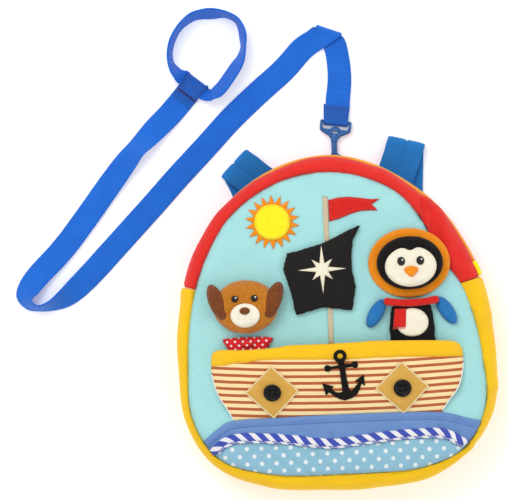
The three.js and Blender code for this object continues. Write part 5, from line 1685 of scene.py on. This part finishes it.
# %% Boat pocket
BOAT_LENGTH, BOAT_HEIGHT, BOAT_TOP = 204.0, 58.0, -18.0
POCKET_RISE = 12.0
HULL_CLOTH = 1.2
HEM_TOP = [
    (-104.8, -26), (-103.4, -21), (-99.5, -18.8), (-94.4, -18.2), (-79.3, -19), (-65.9, -18.7),
    (-50.8, -18.1),
    (-40.8, -16.7), (-18.2, -16.8), (3.5, -16.6), (18.5, -16.4), (27.1, -15.9), (48.9, -16.6), (75, -17.6),
    (90, -18.6), (96.5, -20.5), (99.6, -24), (100.9, -29),
]
HEM_LOW = [
    (-104.8, -32.4), (-80, -29.8), (-56, -28.2), (-30, -29.2), (0, -30.6), (34, -30.4), (60, -30.8),
    (78, -31.4), (100.9, -32.8),
]
HULL_RIGHT = [(101.0, -37), (99.8, -46), (96.6, -56), (92.6, -62), (87.9, -67.6), (82, -76)]
HULL_LEFT = [(-88.5, -76.6), (-94, -66.4), (-100.2, -55.8), (-103.9, -44), (-105, -37)]


def pocket(x, y):
    """Level of the pocket's cloth: full at the mouth, down on the panel at the sides and at the bottom."""
    down = min(max((BOAT_TOP - y) / BOAT_HEIGHT, 0.0), 1.0)
    across = min(abs(x) / (BOAT_LENGTH / 2), 1.0)
    return front(x, y) + CLEAR + POCKET_RISE * (1 - across**10) * (1 - down**1.6)


def hull_relief(x, y, d):
    """Slack between the seams: shallow slanting folds, pinched in towards the patches."""
    slack = min(1.0, d / 10)
    return slack * (0.9 * ripple(x / 24, y / 12, 2) + 0.5 * ripple(x / 9, y / 30, 6))


def stripe_uv(x, y):
    """The stripes sag a little towards the middle of the boat."""
    return x, y - 2.4 - 0.00033 * (x - 30) ** 2


hem_low = smooth_line(HEM_LOW, closed=False, per=5)
hull_floor = [(x, y - 1.2) for x, y in crest if HULL_LEFT[0][0] < x < HULL_RIGHT[-1][0]]
hull_line = [(x, y + 1.5) for x, y in hem_low] + HULL_RIGHT + hull_floor[::-1] + HULL_LEFT
bm = slab(hull_line, pocket, HULL_CLOTH, 0.7, 2.6, (0.3, 0.5), hull_relief, stripe_uv)
finish_piece(bm, "sewn_boat_hull", hull_cotton, "striped_hull", ["boat_hull"])


def hull_surface(x, y):
    return pocket(x, y) + HULL_CLOTH + hull_relief(x, y, 10)


def hem_relief(x, y, d):
    return 0.7 * ripple(x / 9, y / 5, 3) + 0.5 * ripple(x / 4, y / 14, 7)


hem_line = smooth_line(HEM_TOP, closed=False, per=4) + hem_low[::-1]
bm = slab(hem_line, lifted(-0.5, pocket), 3.3, 4.2, 2.0, (0.4, 0.9, 1.2), hem_relief)
finish_piece(bm, "rolled_boat_hem", hem_cotton, "yellow_cotton", ["boat_hem"])
bm = bmesh.new()
row = as_vectors([(x, y + 1.6) for x, y in hem_low][2:-2])
sew(bm, row, length=2.2, gap=1.1, radius=0.25, base=lifted(2.2, pocket))
finish_piece(bm, "sewn_hem_stitches", yellow_thread, "yellow_cotton")
# the turned edge of the hull shows as a white cord down both sides
bm = bmesh.new()
for side_line in (HULL_RIGHT, HULL_LEFT):
    fine = smooth_line(side_line, closed=False, per=4)
    cord = line_stations(offset_line(fine, -0.4), lifted(0.9, pocket), 1.0, 1.5)
    add_mesh(bm, sweep(cord, round_section(0.55, 8)))
finish_piece(bm, "turned_hull_edges", white_thread, "striped_hull")

# %% [markdown]
# The portholes are tan felt diamonds with a satin-stitched edge, and each holds a sewing button.
# A button is turned: one profile spun round, then four holes bored with a Boolean and sewn through.

# %% Diamonds
PATCHES = [("left", -56.0, -54.5), ("right", 50.0, -55.4)]
PATCH_CORNERS = [(0, 1), (-1, 0.02), (0.02, -1), (0.98, 0.02)]
PATCH_HALF = (22.0, 21.5)


def between_corners(corners, step=2.0):
    """The corners with points along the straight edges between them."""
    line = []
    for (ax, ay), (bx, by) in zip(corners, corners[1:] + corners[:1]):
        count = max(1, round(math.dist((ax, ay), (bx, by)) / step))
        line += [(ax + (bx - ax) * k / count, ay + (by - ay) * k / count) for k in range(count)]
    return line


def patch_top(x, y):
    return hull_surface(x, y) + 0.1


def patch_relief(x, y, d):
    return 0.25 * ripple(x / 7, y / 7, 1)


for side, x, y in PATCHES:
    edge = between_corners(shares(PATCH_CORNERS, *PATCH_HALF, x, y))
    bm = slab(edge, patch_top, FELT, 0.6, 2.2, (0.3,), patch_relief)
    finish_piece(bm, "felt_diamond_" + side, tan_felt, "tan_felt", ["porthole_patch_" + side])
    bm = bmesh.new()
    rim = as_vectors(offset_line(edge, 0.45, closed=True), closed=True)
    sew(bm, rim, length=1.7, gap=-0.95, radius=0.42, base=lifted(FELT, patch_top), turn=math.pi / 2)
    finish_piece(bm, "satin_stitched_edge_" + side, cream_thread, "tan_felt")

# %% Buttons
HOLE_PLACE = 1.8
HOLE_RADIUS = 1.0
BUTTON_PROFILE = [
    (0.0, 0.0), (6.3, 0.0), (7.0, 0.35), (7.3, 1.1), (7.1, 1.9), (6.5, 2.4), (5.7, 2.3), (5.1, 1.75),
    (4.6, 1.5), (0.0, 1.4),
]
HOLES = [(-1, -1), (1, -1), (1, 1), (-1, 1)]


def turned_shape(profile, steps=48):
    """A closed profile (radius, height) spun once round the upright axis."""
    bm = bmesh.new()
    spots = [bm.verts.new((r, 0, z)) for r, z in profile]
    edges = [bm.edges.new(pair) for pair in zip(spots, spots[1:])]
    axes = {"cent": (0, 0, 0), "axis": (0, 0, 1), "angle": TAU}
    bmesh.ops.spin(bm, geom=spots + edges, steps=steps, use_merge=True, **axes)
    bmesh.ops.remove_doubles(bm, verts=bm.verts, dist=1e-3)
    return faced_out(bm)


def bored(bm, places, radius, depth):
    """Bores upright holes with a Boolean."""
    drill = bmesh.new()
    for x, y in places:
        add_cone(drill, (x, y, -depth), (x, y, depth), radius, radius, 14)
    tool = as_object(drill, "drill")
    tool.hide_render = True
    bm = through_modifier(bm, "BOOLEAN", object=tool, operation="DIFFERENCE", solver="EXACT")
    discard(tool)
    return bm


def surface_frame(x, y, surface):
    """A matrix whose Z is square to a surface at (x, y)."""
    slope_x = (surface(x + 3, y) - surface(x - 3, y)) / 6
    slope_y = (surface(x, y + 3) - surface(x, y - 3)) / 6
    normal = Vector((-slope_x, -slope_y, 1)).normalized()
    turn = UP.rotation_difference(normal).to_matrix().to_4x4()
    return Matrix.Translation((x, y, surface(x, y))) @ turn


def button_surface(x, y):
    return patch_top(x, y) + FELT + 0.5


for side, x, y in PATCHES:
    at = surface_frame(x, y, button_surface)
    places = [(HOLE_PLACE * sx, HOLE_PLACE * sy) for sx, sy in HOLES]
    body = bored(turned_shape(BUTTON_PROFILE), places, HOLE_RADIUS, 5)
    finish_piece(body, "turned_button_" + side, button_plastic, "black_button", ["button_" + side], at)
    bm = bmesh.new()
    for (ax, ay), (bx, by) in ((places[0], places[2]), (places[1], places[3])):
        for shift in (-0.35, 0.35):
            spots = (ax, ay, 1.35), ((ax + bx) / 2, (ay + by) / 2, 1.85), (bx, by, 1.35)
            line = [Vector((x + shift, y - shift, z)) for x, y, z in spots]
            strand = with_ups([(spot, Vector((ay - by, bx - ax, 0)), 1.0) for spot in line])
            add_mesh(bm, sweep(smooth_stations(strand), round_section(0.32, 6)))
    # a black disc under the button: the thread through its holes, and painted shade inside them
    add_cone(bm, (0, 0, -0.6), (0, 0, 0.5), 3.6, 3.4)
    finish_piece(bm, "button_thread_and_hole_shade_" + side, black_thread, "black_button", (), at)

# %% [markdown]
# The anchor is a common sea motif, cut from thick black felt. Its eye lies on the hem, the rest on the hull.

# %% Anchor
ANCHOR_AT = (0.3, -27.3)
ANCHOR_LINE = [
    (2.6, -4.6), (2.9, -5.9), (3.8, -6.6), (8.6, -6.5), (10.1, -5.3), (12.1, -4.4), (14.1, -5.7),
    (14.4, -8.6),
    (12.9, -10.4), (11.0, -10.2), (9.6, -9.2), (4.1, -9.7), (3.9, -11.2), (4.9, -18.5), (6.3, -26.9),
    (7.8, -28.7),
    (9.2, -28.0), (14.3, -22.1), (11.1, -21.0), (18.7, -15.7), (19.4, -25.1), (16.5, -23.4), (14.6, -28.7),
    (12.8, -31.7), (8.8, -34.6), (2.6, -36.5), (-2.2, -35.0), (-6.6, -32.1), (-10.1, -29.1), (-11.9, -31.3),
    (-13.0, -31.1), (-15.4, -21.4), (-5.9, -24.5), (-8.0, -26.2), (-4.8, -29.1), (-1.5, -29.8), (0.7, -29.1),
    (0.4, -24.0), (-0.4, -16.7), (-0.9, -10.4), (-2.2, -10.0), (-7.3, -10.5), (-8.4, -11.5), (-10.2, -12.6),
    (-12.8, -11.5), (-13.2, -8.6), (-11.3, -6.6), (-9.2, -7.3), (-7.7, -8.2), (-2.6, -7.5), (-1.5, -7.1),
    (-2.2, -4.9),
]
RING_OUTER, RING_INNER, RING_THICKNESS = 5.4, 2.3, 1.9
RING_SECTION = [
    (1, 0), (0.92, 0.7), (0.7, 1), (-0.7, 1), (-0.92, 0.7), (-1, 0), (-0.92, -0.7), (-0.7, -1), (0.7, -1),
    (0.92, -0.7),
]


def anchor_base(x, y):
    """Over the hull, and up over the rolled edge of the hem."""
    on_hem = min(max((y + 33.5) / 4, 0.0), 1.0)
    return hull_surface(x, y) + 0.1 + 1.3 * on_hem * on_hem * (3 - 2 * on_hem)


anchor_edge = between_corners([(ANCHOR_AT[0] + x, ANCHOR_AT[1] + y) for x, y in ANCHOR_LINE], 1.2)
bm = slab(anchor_edge, anchor_base, 1.9, 0.9, 1.6, (0.35,))
ring_line = (RING_OUTER + RING_INNER) / 2
ring_half = (RING_OUTER - RING_INNER) / 2
ring_at = Vector((*ANCHOR_AT, anchor_base(*ANCHOR_AT) + RING_THICKNESS / 2))
ring_section = [(ring_half * a, RING_THICKNESS / 2 * b) for a, b in RING_SECTION]
add_mesh(bm, sweep(ring_stations(ring_at, ring_line, ring_line, 32), ring_section, closed=True))
finish_piece(bm, "felt_anchor", black_felt, "black_felt", ["anchor"])

# %% [markdown]
# The mast is a woven ribbon, and the pennant is felt with one row of stitches inside its edge.

# %% Mast and pennant
MAST_X, MAST_WIDTH, MAST_TOP = -6.0, 4.2, 104.1
RIBBON = 0.8
beige_ribbon = webbing("beige ribbon", "#E4D6B8", "#BFA987")
mast_points = [(MAST_X + 0.25 * math.sin(y / 17), y) for y in range(-17, 104, 3)] + [(MAST_X, MAST_TOP)]
ribbon_section = [(a / MAST_WIDTH, b) for a, b in band_section(MAST_WIDTH, RIBBON, selvedge=0.15, steps=4)]
bm = sweep(line_stations(mast_points, lifted(0.7, front), MAST_WIDTH), ribbon_section)
finish_piece(bm, "woven_mast_ribbon", beige_ribbon, "beige_ribbon", ["mast"])


def inner_line(outline, distance):
    """The outline drawn in by a distance, whichever way round it runs."""
    turned = sum(ax * by - bx * ay for (ax, ay), (bx, by) in zip(outline, outline[1:] + outline[:1]))
    return offset_line(outline, distance if turned > 0 else -distance, closed=True)


FINE_STITCH = {"length": 1.3, "gap": 0.7}


def stitched_edge(outline, distance, surface, name, material, slot, at=Matrix(), length=1.8, gap=0.9):
    """A row of stitches inside an outline, left out where the outline is too narrow for it."""
    bm = bmesh.new()
    line = inner_line(outline, distance)
    depths = from_outline(outline, np.array(line))
    line = as_vectors([spot for spot, depth in zip(line, depths) if depth > 0.85 * distance], closed=True)
    sew(bm, line, length=length, gap=gap, radius=0.24, base=surface)
    finish_piece(bm, name, material, slot, (), at)


PENNANT_LENGTH = 42.0
PENNANT_EDGE = [
    (0, 0), (0.2, 0.04), (0.42, 0.045), (0.66, 0.01), (0.84, -0.02), (1, -0.02), (0.92, -0.07), (0.84, -0.12),
    (0.9, -0.18), (0.95, -0.24), (0.8, -0.235), (0.62, -0.24), (0.42, -0.29), (0.2, -0.37), (0, -0.42),
]
pennant_at = (MAST_X + MAST_WIDTH / 2 + CLEAR, MAST_TOP - 4)
pennant_edge = between_corners(shares(PENNANT_EDGE, PENNANT_LENGTH, PENNANT_LENGTH, *pennant_at), 1.5)


def pennant_lift(x, y):
    return front(x, y) + CLEAR + 0.5 * max(0.0, math.sin((x - pennant_at[0]) / 5.5))


bm = slab(pennant_edge, pennant_lift, FELT, 0.6, 2.0)
finish_piece(bm, "felt_pennant", red_felt, "red_felt", ["pennant"])
stitched_edge(pennant_edge, 1.7, lifted(FELT, pennant_lift), "sewn_pennant_stitches", red_thread, "red_felt")

# %% [markdown]
# The sail, the puppets' heads and the penguin's body are stuffed. Each starts as a slab a little too small,
# becomes an even voxel mesh and is blown up as cloth for twenty frames. The solver's settings suit a cushion,
# so it works on the shape at a hundred millimetres to the unit, and no point may move further than its cap.

# %% Stuffing a shape with the cloth solver
CLOTH_SCALE = 0.01
CLOTH_FRAMES = 20
CLOTH_PRESSURE = 4.0


def stuffed(bm, voxel, cap):
    """A closed shape blown up as cloth, then subdivided once."""
    bm = fused(bm, voxel, 2)
    rest = [vert.co.copy() for vert in bm.verts]
    bmesh.ops.scale(bm, vec=Vector((CLOTH_SCALE,) * 3), verts=bm.verts)
    holder = as_object(bm, "cushion")
    cloth = holder.modifiers.new("cloth", "CLOTH")
    cloth.settings.use_pressure = True
    cloth.settings.uniform_pressure_force = CLOTH_PRESSURE
    cloth.settings.effector_weights.gravity = 0
    for tick in range(1, CLOTH_FRAMES + 1):
        scene.frame_set(tick)
    bm = worked(holder)
    most = 0.0
    for vert, start in zip(bm.verts, rest):
        move = vert.co / CLOTH_SCALE - start
        most = max(most, move.length)
        vert.co = start + move * min(1.0, cap / max(move.length, 1e-6))
    print("cloth moved up to", round(most, 2), "mm")
    scene.frame_set(1)
    return through_modifier(bm, "SUBSURF", levels=1, render_levels=1)


# %% Sail and its compass star
SAIL_AT = (-11.0, 43.8)
SAIL_SIZE = (66.0, 78.0)
SAIL_EDGE = [
    (0.54, 0.5), (0.42, 0.28), (0.4, 0), (0.44, -0.2), (0.38, -0.47), (0, -0.43), (-0.38, -0.5),
    (-0.43, -0.25), (-0.52, 0.02), (-0.46, 0.2), (0, 0.3),
]
SAIL_LIFT = CLEAR + RIBBON + CLEAR
sail_edge = inner_line(between_corners(shares(SAIL_EDGE, *SAIL_SIZE, *SAIL_AT)), 0.8)
bm = stuffed(slab(sail_edge, lifted(SAIL_LIFT + 0.5, front), 3.2, 1.6, 2.2, (0.4, 0.8)), 1.3, 1.1)
sail_top = top_of(bm)
sail_cloth = cotton("black sail", "#1E1C1A", "#0D0C0B", thread=0.7, weave=0.14, sheen=0.05).material
sail = finish_piece(bm, "stuffed_sail", sail_cloth, "black_felt", ["sail"])
STAR_LONG = 19.8
# shares of the long point's reach: a long point, a notch, a short point and a notch
STAR_REACH = [1.0, 0.27, 0.6, 0.27]


def spiked(middle, reaches):
    """Points round a middle, the first one above it, each at its own reach."""
    outline = []
    for k, reach in enumerate(reaches):
        angle = math.pi / 2 + k * TAU / len(reaches)
        outline.append((middle[0] + reach * math.cos(angle), middle[1] + reach * math.sin(angle)))
    return outline


star_edge = between_corners(spiked(SAIL_AT, [STAR_LONG * share for share in STAR_REACH * 4]), 1.4)
star_base = lifted(0.05, sail_top)
bm = slab(star_edge, star_base, FELT, 0.5, 1.5)
finish_piece(bm, "felt_compass_star", cream_felt, "cream_felt", ["sail_emblem"])
stitched_edge(
    star_edge, 0.8, lifted(FELT, star_base), "sewn_star_stitches", cream_thread, "cream_felt", **FINE_STITCH
)

# %% Sun
SUN_AT = (-50.0, 84.0)
SUN_RADIUS, RAY_REACH, RAY_COUNT = 14.5, 8.0, 18
rays = spiked(SUN_AT, [SUN_RADIUS + RAY_REACH, SUN_RADIUS + 1.0] * RAY_COUNT)
bm = slab(between_corners(rays), lifted(CLEAR, front), FELT, 0.5, 2.0)
finish_piece(bm, "felt_sun_rays", orange_felt, "orange_felt", ["sun_rays"])
disc_base = lifted(2 * CLEAR + FELT, front)
disc_edge = oval(*SUN_AT, SUN_RADIUS, SUN_RADIUS, count=56)
bm = slab(disc_edge, disc_base, FELT, 0.8, 2.0)
finish_piece(bm, "felt_sun_disc", sun_felt, "yellow_felt", ["sun_disc"])
stitched_edge(disc_edge, 1.2, lifted(FELT, disc_base), "sewn_sun_stitches", orange_thread, "yellow_felt")

# %% [markdown]
# Both puppets are flat-backed finger puppets, tucked into the pocket. Each is built in its own frame, a plane
# that touches the panel at the pocket's mouth, and moved there at the end.

# %% Frame of a puppet
def puppet_frame(x, y, half_width, low, high):
    """A tilted plane over the panel's dome, as low as it can lie under the whole puppet."""

    def level_at(px, py):
        return dome(px, py)[0]

    slope_x = (level_at(x + 1, BOAT_TOP) - level_at(x - 1, BOAT_TOP)) / 2
    slope_y = (level_at(x, BOAT_TOP + 1) - level_at(x, BOAT_TOP - 1)) / 2
    level = level_at(x, BOAT_TOP) + slope_y * (y - BOAT_TOP)
    rise = 0.0
    for i in range(-6, 7):
        for j in range(-6, 7):
            px, py = half_width * i / 6, (-low if j < 0 else high) * j / 6
            rise = max(rise, level_at(x + px, y + py) - level - slope_x * px - slope_y * py)
    turn = UP.rotation_difference(Vector((-slope_x, -slope_y, 1)).normalized())
    return Matrix.Translation((x, y, level + rise + 2 * CLEAR)) @ turn.to_matrix().to_4x4()


def flat(level):
    return lambda x, y: level


def soft_form(outline, low, thickness, voxel, cap, rounding):
    """A stuffed form between two levels, started small enough for what the stuffing adds."""
    line = inner_line(outline, cap * 0.7)
    return stuffed(slab(line, flat(low + cap * 0.5), thickness - cap, rounding, 2.5, (0.5, 1.2)), voxel, cap)


EYE_HEIGHT = 1.5


def satin_eye(name, side, eye, edge, cell, glint, surface, at):
    """An oval eye (x, y and two radii) with a white glint (how far right and up of it, and its radius)."""
    bm = slab(oval(*eye, count=28), surface, EYE_HEIGHT, edge, cell, (0.3, 0.6))
    finish_piece(bm, f"satin_{name}_eye_{side}", black_thread, "black_felt", [f"{name}_eye_{side}"], at)
    right, above, radius = glint
    spot = oval(eye[0] + right, eye[1] + above, radius, radius, count=12)
    bm = slab(spot, lifted(EYE_HEIGHT - 0.05, surface), 0.35, 0.4, 0.6, (0.15,))
    finish_piece(bm, f"{name}_eye_glint_{side}", white_thread, "black_felt", (), at)


SIDES = (("left", -1), ("right", 1))


# %% Penguin
PENGUIN = (78.0, 100.0)
PENGUIN_HEAD = 12.0
PUPPET_BODY = 5.5
wide, tall = PENGUIN
penguin_at = puppet_frame(HALF_WIDTH * 0.46, HALF_HEIGHT * 0.19, wide * 0.3, -tall / 2, tall / 2)
head_y = tall * 0.2
black_plush = plush("black fleece", "#211F1D", "#0B0A0A", 0.04)
backing_edge = oval(0, head_y, wide * 0.43, tall * 0.283, count=64)
bm = slab(backing_edge, flat(0.0), FELT, 0.6, 2.5)
finish_piece(bm, "felt_penguin_backing", orange_felt, "orange_felt", ["penguin_backing"], penguin_at)
stitched_edge(
    backing_edge, 1.3, flat(FELT), "sewn_backing_stitches", orange_thread, "orange_felt", penguin_at
)
bm = soft_form(oval(0, head_y, wide * 0.385, tall * 0.25), FELT + CLEAR, PENGUIN_HEAD, 2.0, 1.6, 5.5)
head_top = top_of(bm)
penguin_head = finish_piece(
    bm, "stuffed_penguin_head", black_plush, "black_felt", ["penguin_head"], penguin_at
)
face_edge = [
    (x, y - 3.4 * bell(x, 4.6) * (y > head_y))
    for x, y in oval(0, head_y - tall * 0.03, wide * 0.27, tall * 0.165, count=64)
]
face_base = lifted(0.05, head_top)
bm = slab(face_edge, face_base, FELT, 0.6, 1.8)
finish_piece(bm, "felt_penguin_face", cream_felt, "cream_felt", ["penguin_face"], penguin_at)
stitched_edge(
    face_edge, 0.9, lifted(FELT, face_base), "sewn_face_stitches", cream_thread, "cream_felt", penguin_at,
    **FINE_STITCH,
)
on_face = lifted(FELT + 0.05, face_base)
for side, sign in SIDES:
    eye = (sign * wide * 0.1, head_y + tall * 0.015, 3.2, 3.6)
    satin_eye("penguin", side, eye, 2.6, 0.9, (1.0, 1.1, 0.75), on_face, penguin_at)
BEAK = [(-1, 0.35), (0, 1), (1, 0.35), (0, -1)]
beak_edge = smooth_line(shares(BEAK, wide * 0.075, tall * 0.045, 0, head_y - tall * 0.07), per=6)


def beak_relief(x, y, d):
    """The crease between the two halves of the beak."""
    return -0.9 * bell(y - head_y + tall * 0.066 - 0.02 * x * x, 0.6) * min(1, d / 1.2)


bm = slab(beak_edge, on_face, 3.2, 3.4, 0.8, (0.4, 0.8), beak_relief)
finish_piece(bm, "stuffed_beak", orange_felt, "orange_felt", ["penguin_beak"], penguin_at)
BODY = [(-0.7, 0), (0.7, 0), (1, -0.35), (1.02, -0.7), (0.95, -1), (-0.95, -1), (-1.02, -0.7), (-1, -0.35)]
body_edge = smooth_line(shares(BODY, wide * 0.25, tall * 0.42, 0, -tall * 0.09 - 2), per=6)
bm = soft_form(body_edge, 0.2, PUPPET_BODY, 1.5, 0.8, 2.4)
body_top = top_of(bm)
penguin_body = finish_piece(
    bm, "stuffed_penguin_body", black_plush, "black_felt", ["penguin_body"], penguin_at
)
belly_edge = oval(0, -tall * 0.285, wide * 0.17, tall * 0.115, count=48)
belly_base = lifted(0.05, body_top)
bm = slab(belly_edge, belly_base, FELT, 0.6, 1.8)
finish_piece(bm, "felt_penguin_belly", cream_felt, "cream_felt", ["penguin_belly"], penguin_at)
stitched_edge(
    belly_edge, 0.9, lifted(FELT, belly_base), "sewn_belly_stitches", cream_thread, "cream_felt", penguin_at,
    **FINE_STITCH,
)
blue_felt = felt("blue felt", "#2E80C4", "#1E66A6")
for side, sign in SIDES:
    edge = oval(sign * wide * 0.37, -tall * 0.2, wide * 0.075, tall * 0.13, sign * 32, 36)
    bm = slab(edge, flat(0.3), PUPPET_BODY - 0.6, 4.6, 1.8, (0.5, 1.2))
    node = "penguin_flipper_" + side
    finish_piece(bm, "stuffed_flipper_" + side, blue_felt, "teal_strap", [node], penguin_at)

# %% Scarf of the penguin
SCARF = [
    (-1, 0.4), (-0.5, 0.16), (0, 0.1), (0.5, 0.16), (1, 0.4), (1.02, -0.6), (0.5, -0.9), (0, -1),
    (-0.5, -0.9), (-1.02, -0.6),
]
scarf_edge = smooth_line(shares(SCARF, wide * 0.27, tall * 0.055, 0, -tall * 0.1), per=5)
scarf_base = flat(PUPPET_BODY + CLEAR)


def scarf_relief(x, y, d):
    """Folds along the scarf."""
    return 0.5 * math.sin(y * 1.9 + 0.3 * math.sin(x / 4)) * min(1, d / 1.5)


bm = slab(scarf_edge, scarf_base, 2.9, 2.6, 1.0, (0.4, 0.8), scarf_relief)
finish_piece(bm, "sewn_penguin_scarf", red_felt, "red_felt", ["penguin_scarf"], penguin_at)
TAIL = [(-1, 1), (1, 1), (0.8, -1), (-1.4, -1)]
tail_edge = shares(TAIL, wide * 0.06, tall * 0.075, -wide * 0.12, -tall * 0.245)
tail_edge = between_corners(tail_edge, 1.2)
tail_base = lifted(FELT + 0.15, belly_base)
bm = slab(tail_edge, tail_base, FELT, 0.6, 1.2)
finish_piece(bm, "felt_scarf_end", red_felt, "red_felt", ["penguin_scarf_end"], penguin_at)
bm = bmesh.new()
for k in range(6):
    x = tail_edge[0][0] + 0.2 + k * 1.75 - 1.6
    foot = min(y for _, y in tail_edge)
    line = [Vector((x, foot + 0.6, 0)), Vector((x - 0.3, foot - 2.2, 0))]
    sew(bm, line, length=2.6, gap=0.4, radius=0.4, base=lifted(0.6, tail_base))
finish_piece(bm, "scarf_fringe", red_thread, "red_felt", (), penguin_at)

# %% Puppy
PUPPY = (57.0, 76.0)
PUPPY_HEAD = 15.0
wide, tall = PUPPY
puppy_at = puppet_frame(-HALF_WIDTH * 0.567, HALF_HEIGHT * 0.066, wide * 0.4, -tall * 0.45, tall * 0.45)
head_y = tall * 0.09
brown_plush = plush("brown plush", "#D08426", "#A8600F")
dark_plush = plush("dark plush", "#8A4A1E", "#5E2E10")
bm = soft_form(oval(0, head_y, wide * 0.5, tall * 0.32), 0.3, PUPPY_HEAD, 2.0, 1.8, 6.5)
head_top = top_of(bm)
puppy_head = finish_piece(bm, "stuffed_puppy_head", brown_plush, "brown_plush", ["puppy_head"], puppy_at)
on_head = lifted(0.05, head_top)


def ear_base(x, y):
    """Over the side of the head, and down past its edge in one soft slope."""
    past = max(0.0, math.hypot(x / (wide * 0.5), (y - head_y) / (tall * 0.32)) - 0.45)
    return PUPPY_HEAD - 1.6 - 9.5 * past * past


for side, sign in SIDES:
    edge = oval(sign * wide * 0.4, head_y + tall * 0.06, wide * 0.12, tall * 0.21, -sign * 22, 40)
    bm = slab(edge, ear_base, 3.0, 3.2, 1.6, (0.5, 0.9))
    finish_piece(bm, "sewn_puppy_ear_" + side, dark_plush, "dark_plush", ["puppy_ear_" + side], puppy_at)
    eye = (sign * wide * 0.14, head_y + tall * 0.09, 2.8, 2.8)
    satin_eye("puppy", side, eye, 2.4, 0.8, (0.9, 1.0, 0.7), on_head, puppy_at)
muzzle_edge = oval(0, head_y - tall * 0.09, wide * 0.21, tall * 0.13, count=52)
mouth_y = head_y - tall * 0.12


def muzzle_relief(x, y, d):
    """A seam down the middle and a smile on both sides of it."""
    seam = bell(x, 0.5) * (y < head_y - tall * 0.05)
    smile = bell(y - mouth_y - 0.09 * (abs(x) - 3.4) ** 2 + 1.6, 0.5) * (abs(x) < 6.5)
    return -0.8 * max(seam, smile) * min(1, d / 2)


bm = slab(muzzle_edge, on_head, 4.0, 6.5, 0.8, (0.4, 0.8), muzzle_relief)
muzzle_top = top_of(bm)
finish_piece(bm, "stuffed_puppy_muzzle", cream_felt, "cream_felt", ["puppy_muzzle"], puppy_at)
nose_edge = oval(0, head_y - tall * 0.04, wide * 0.075, tall * 0.04, count=32)
bm = slab(nose_edge, lifted(-0.3, muzzle_top), 2.6, 3.0, 0.8, (0.3, 0.6))
finish_piece(bm, "stuffed_puppy_nose", dark_plush, "dark_plush", ["puppy_nose"], puppy_at)
dotted_red = dotted("dotted red", "#E6262C", "#C4161C", (6.4, 6.4), 1.7)
KERCHIEF = [(-1, 1), (1, 1), (1.1, 0.5), (0.5, -0.7), (-0.5, -0.7), (-1.1, 0.5)]
kerchief_edge = smooth_line(shares(KERCHIEF, wide * 0.3, tall * 0.13, 0, head_y - tall * 0.46), per=5)


def kerchief_relief(x, y, d):
    fold = math.sin(math.atan2(y - head_y + tall * 0.39, x) * 9)
    return 0.45 * fold * min(1, d / 2)


bm = slab(kerchief_edge, flat(0.3), PUPPET_BODY - 0.6, 4.0, 1.4, (0.4, 1.0), kerchief_relief)
finish_piece(bm, "gathered_neckerchief", dotted_red, "dotted_red", ["puppy_neckerchief"], puppy_at)
knot_edge = oval(0, head_y - tall * 0.39, wide * 0.09, tall * 0.04, count=32)
bm = slab(knot_edge, flat(PUPPET_BODY + CLEAR), 4.0, 3.4, 0.8, (0.3, 0.7))
finish_piece(bm, "tied_knot", dotted_red, "dotted_red", ["puppy_knot"], puppy_at)
size = [[list(cad_low), list(cad_high)], [list(corner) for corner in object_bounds()]]
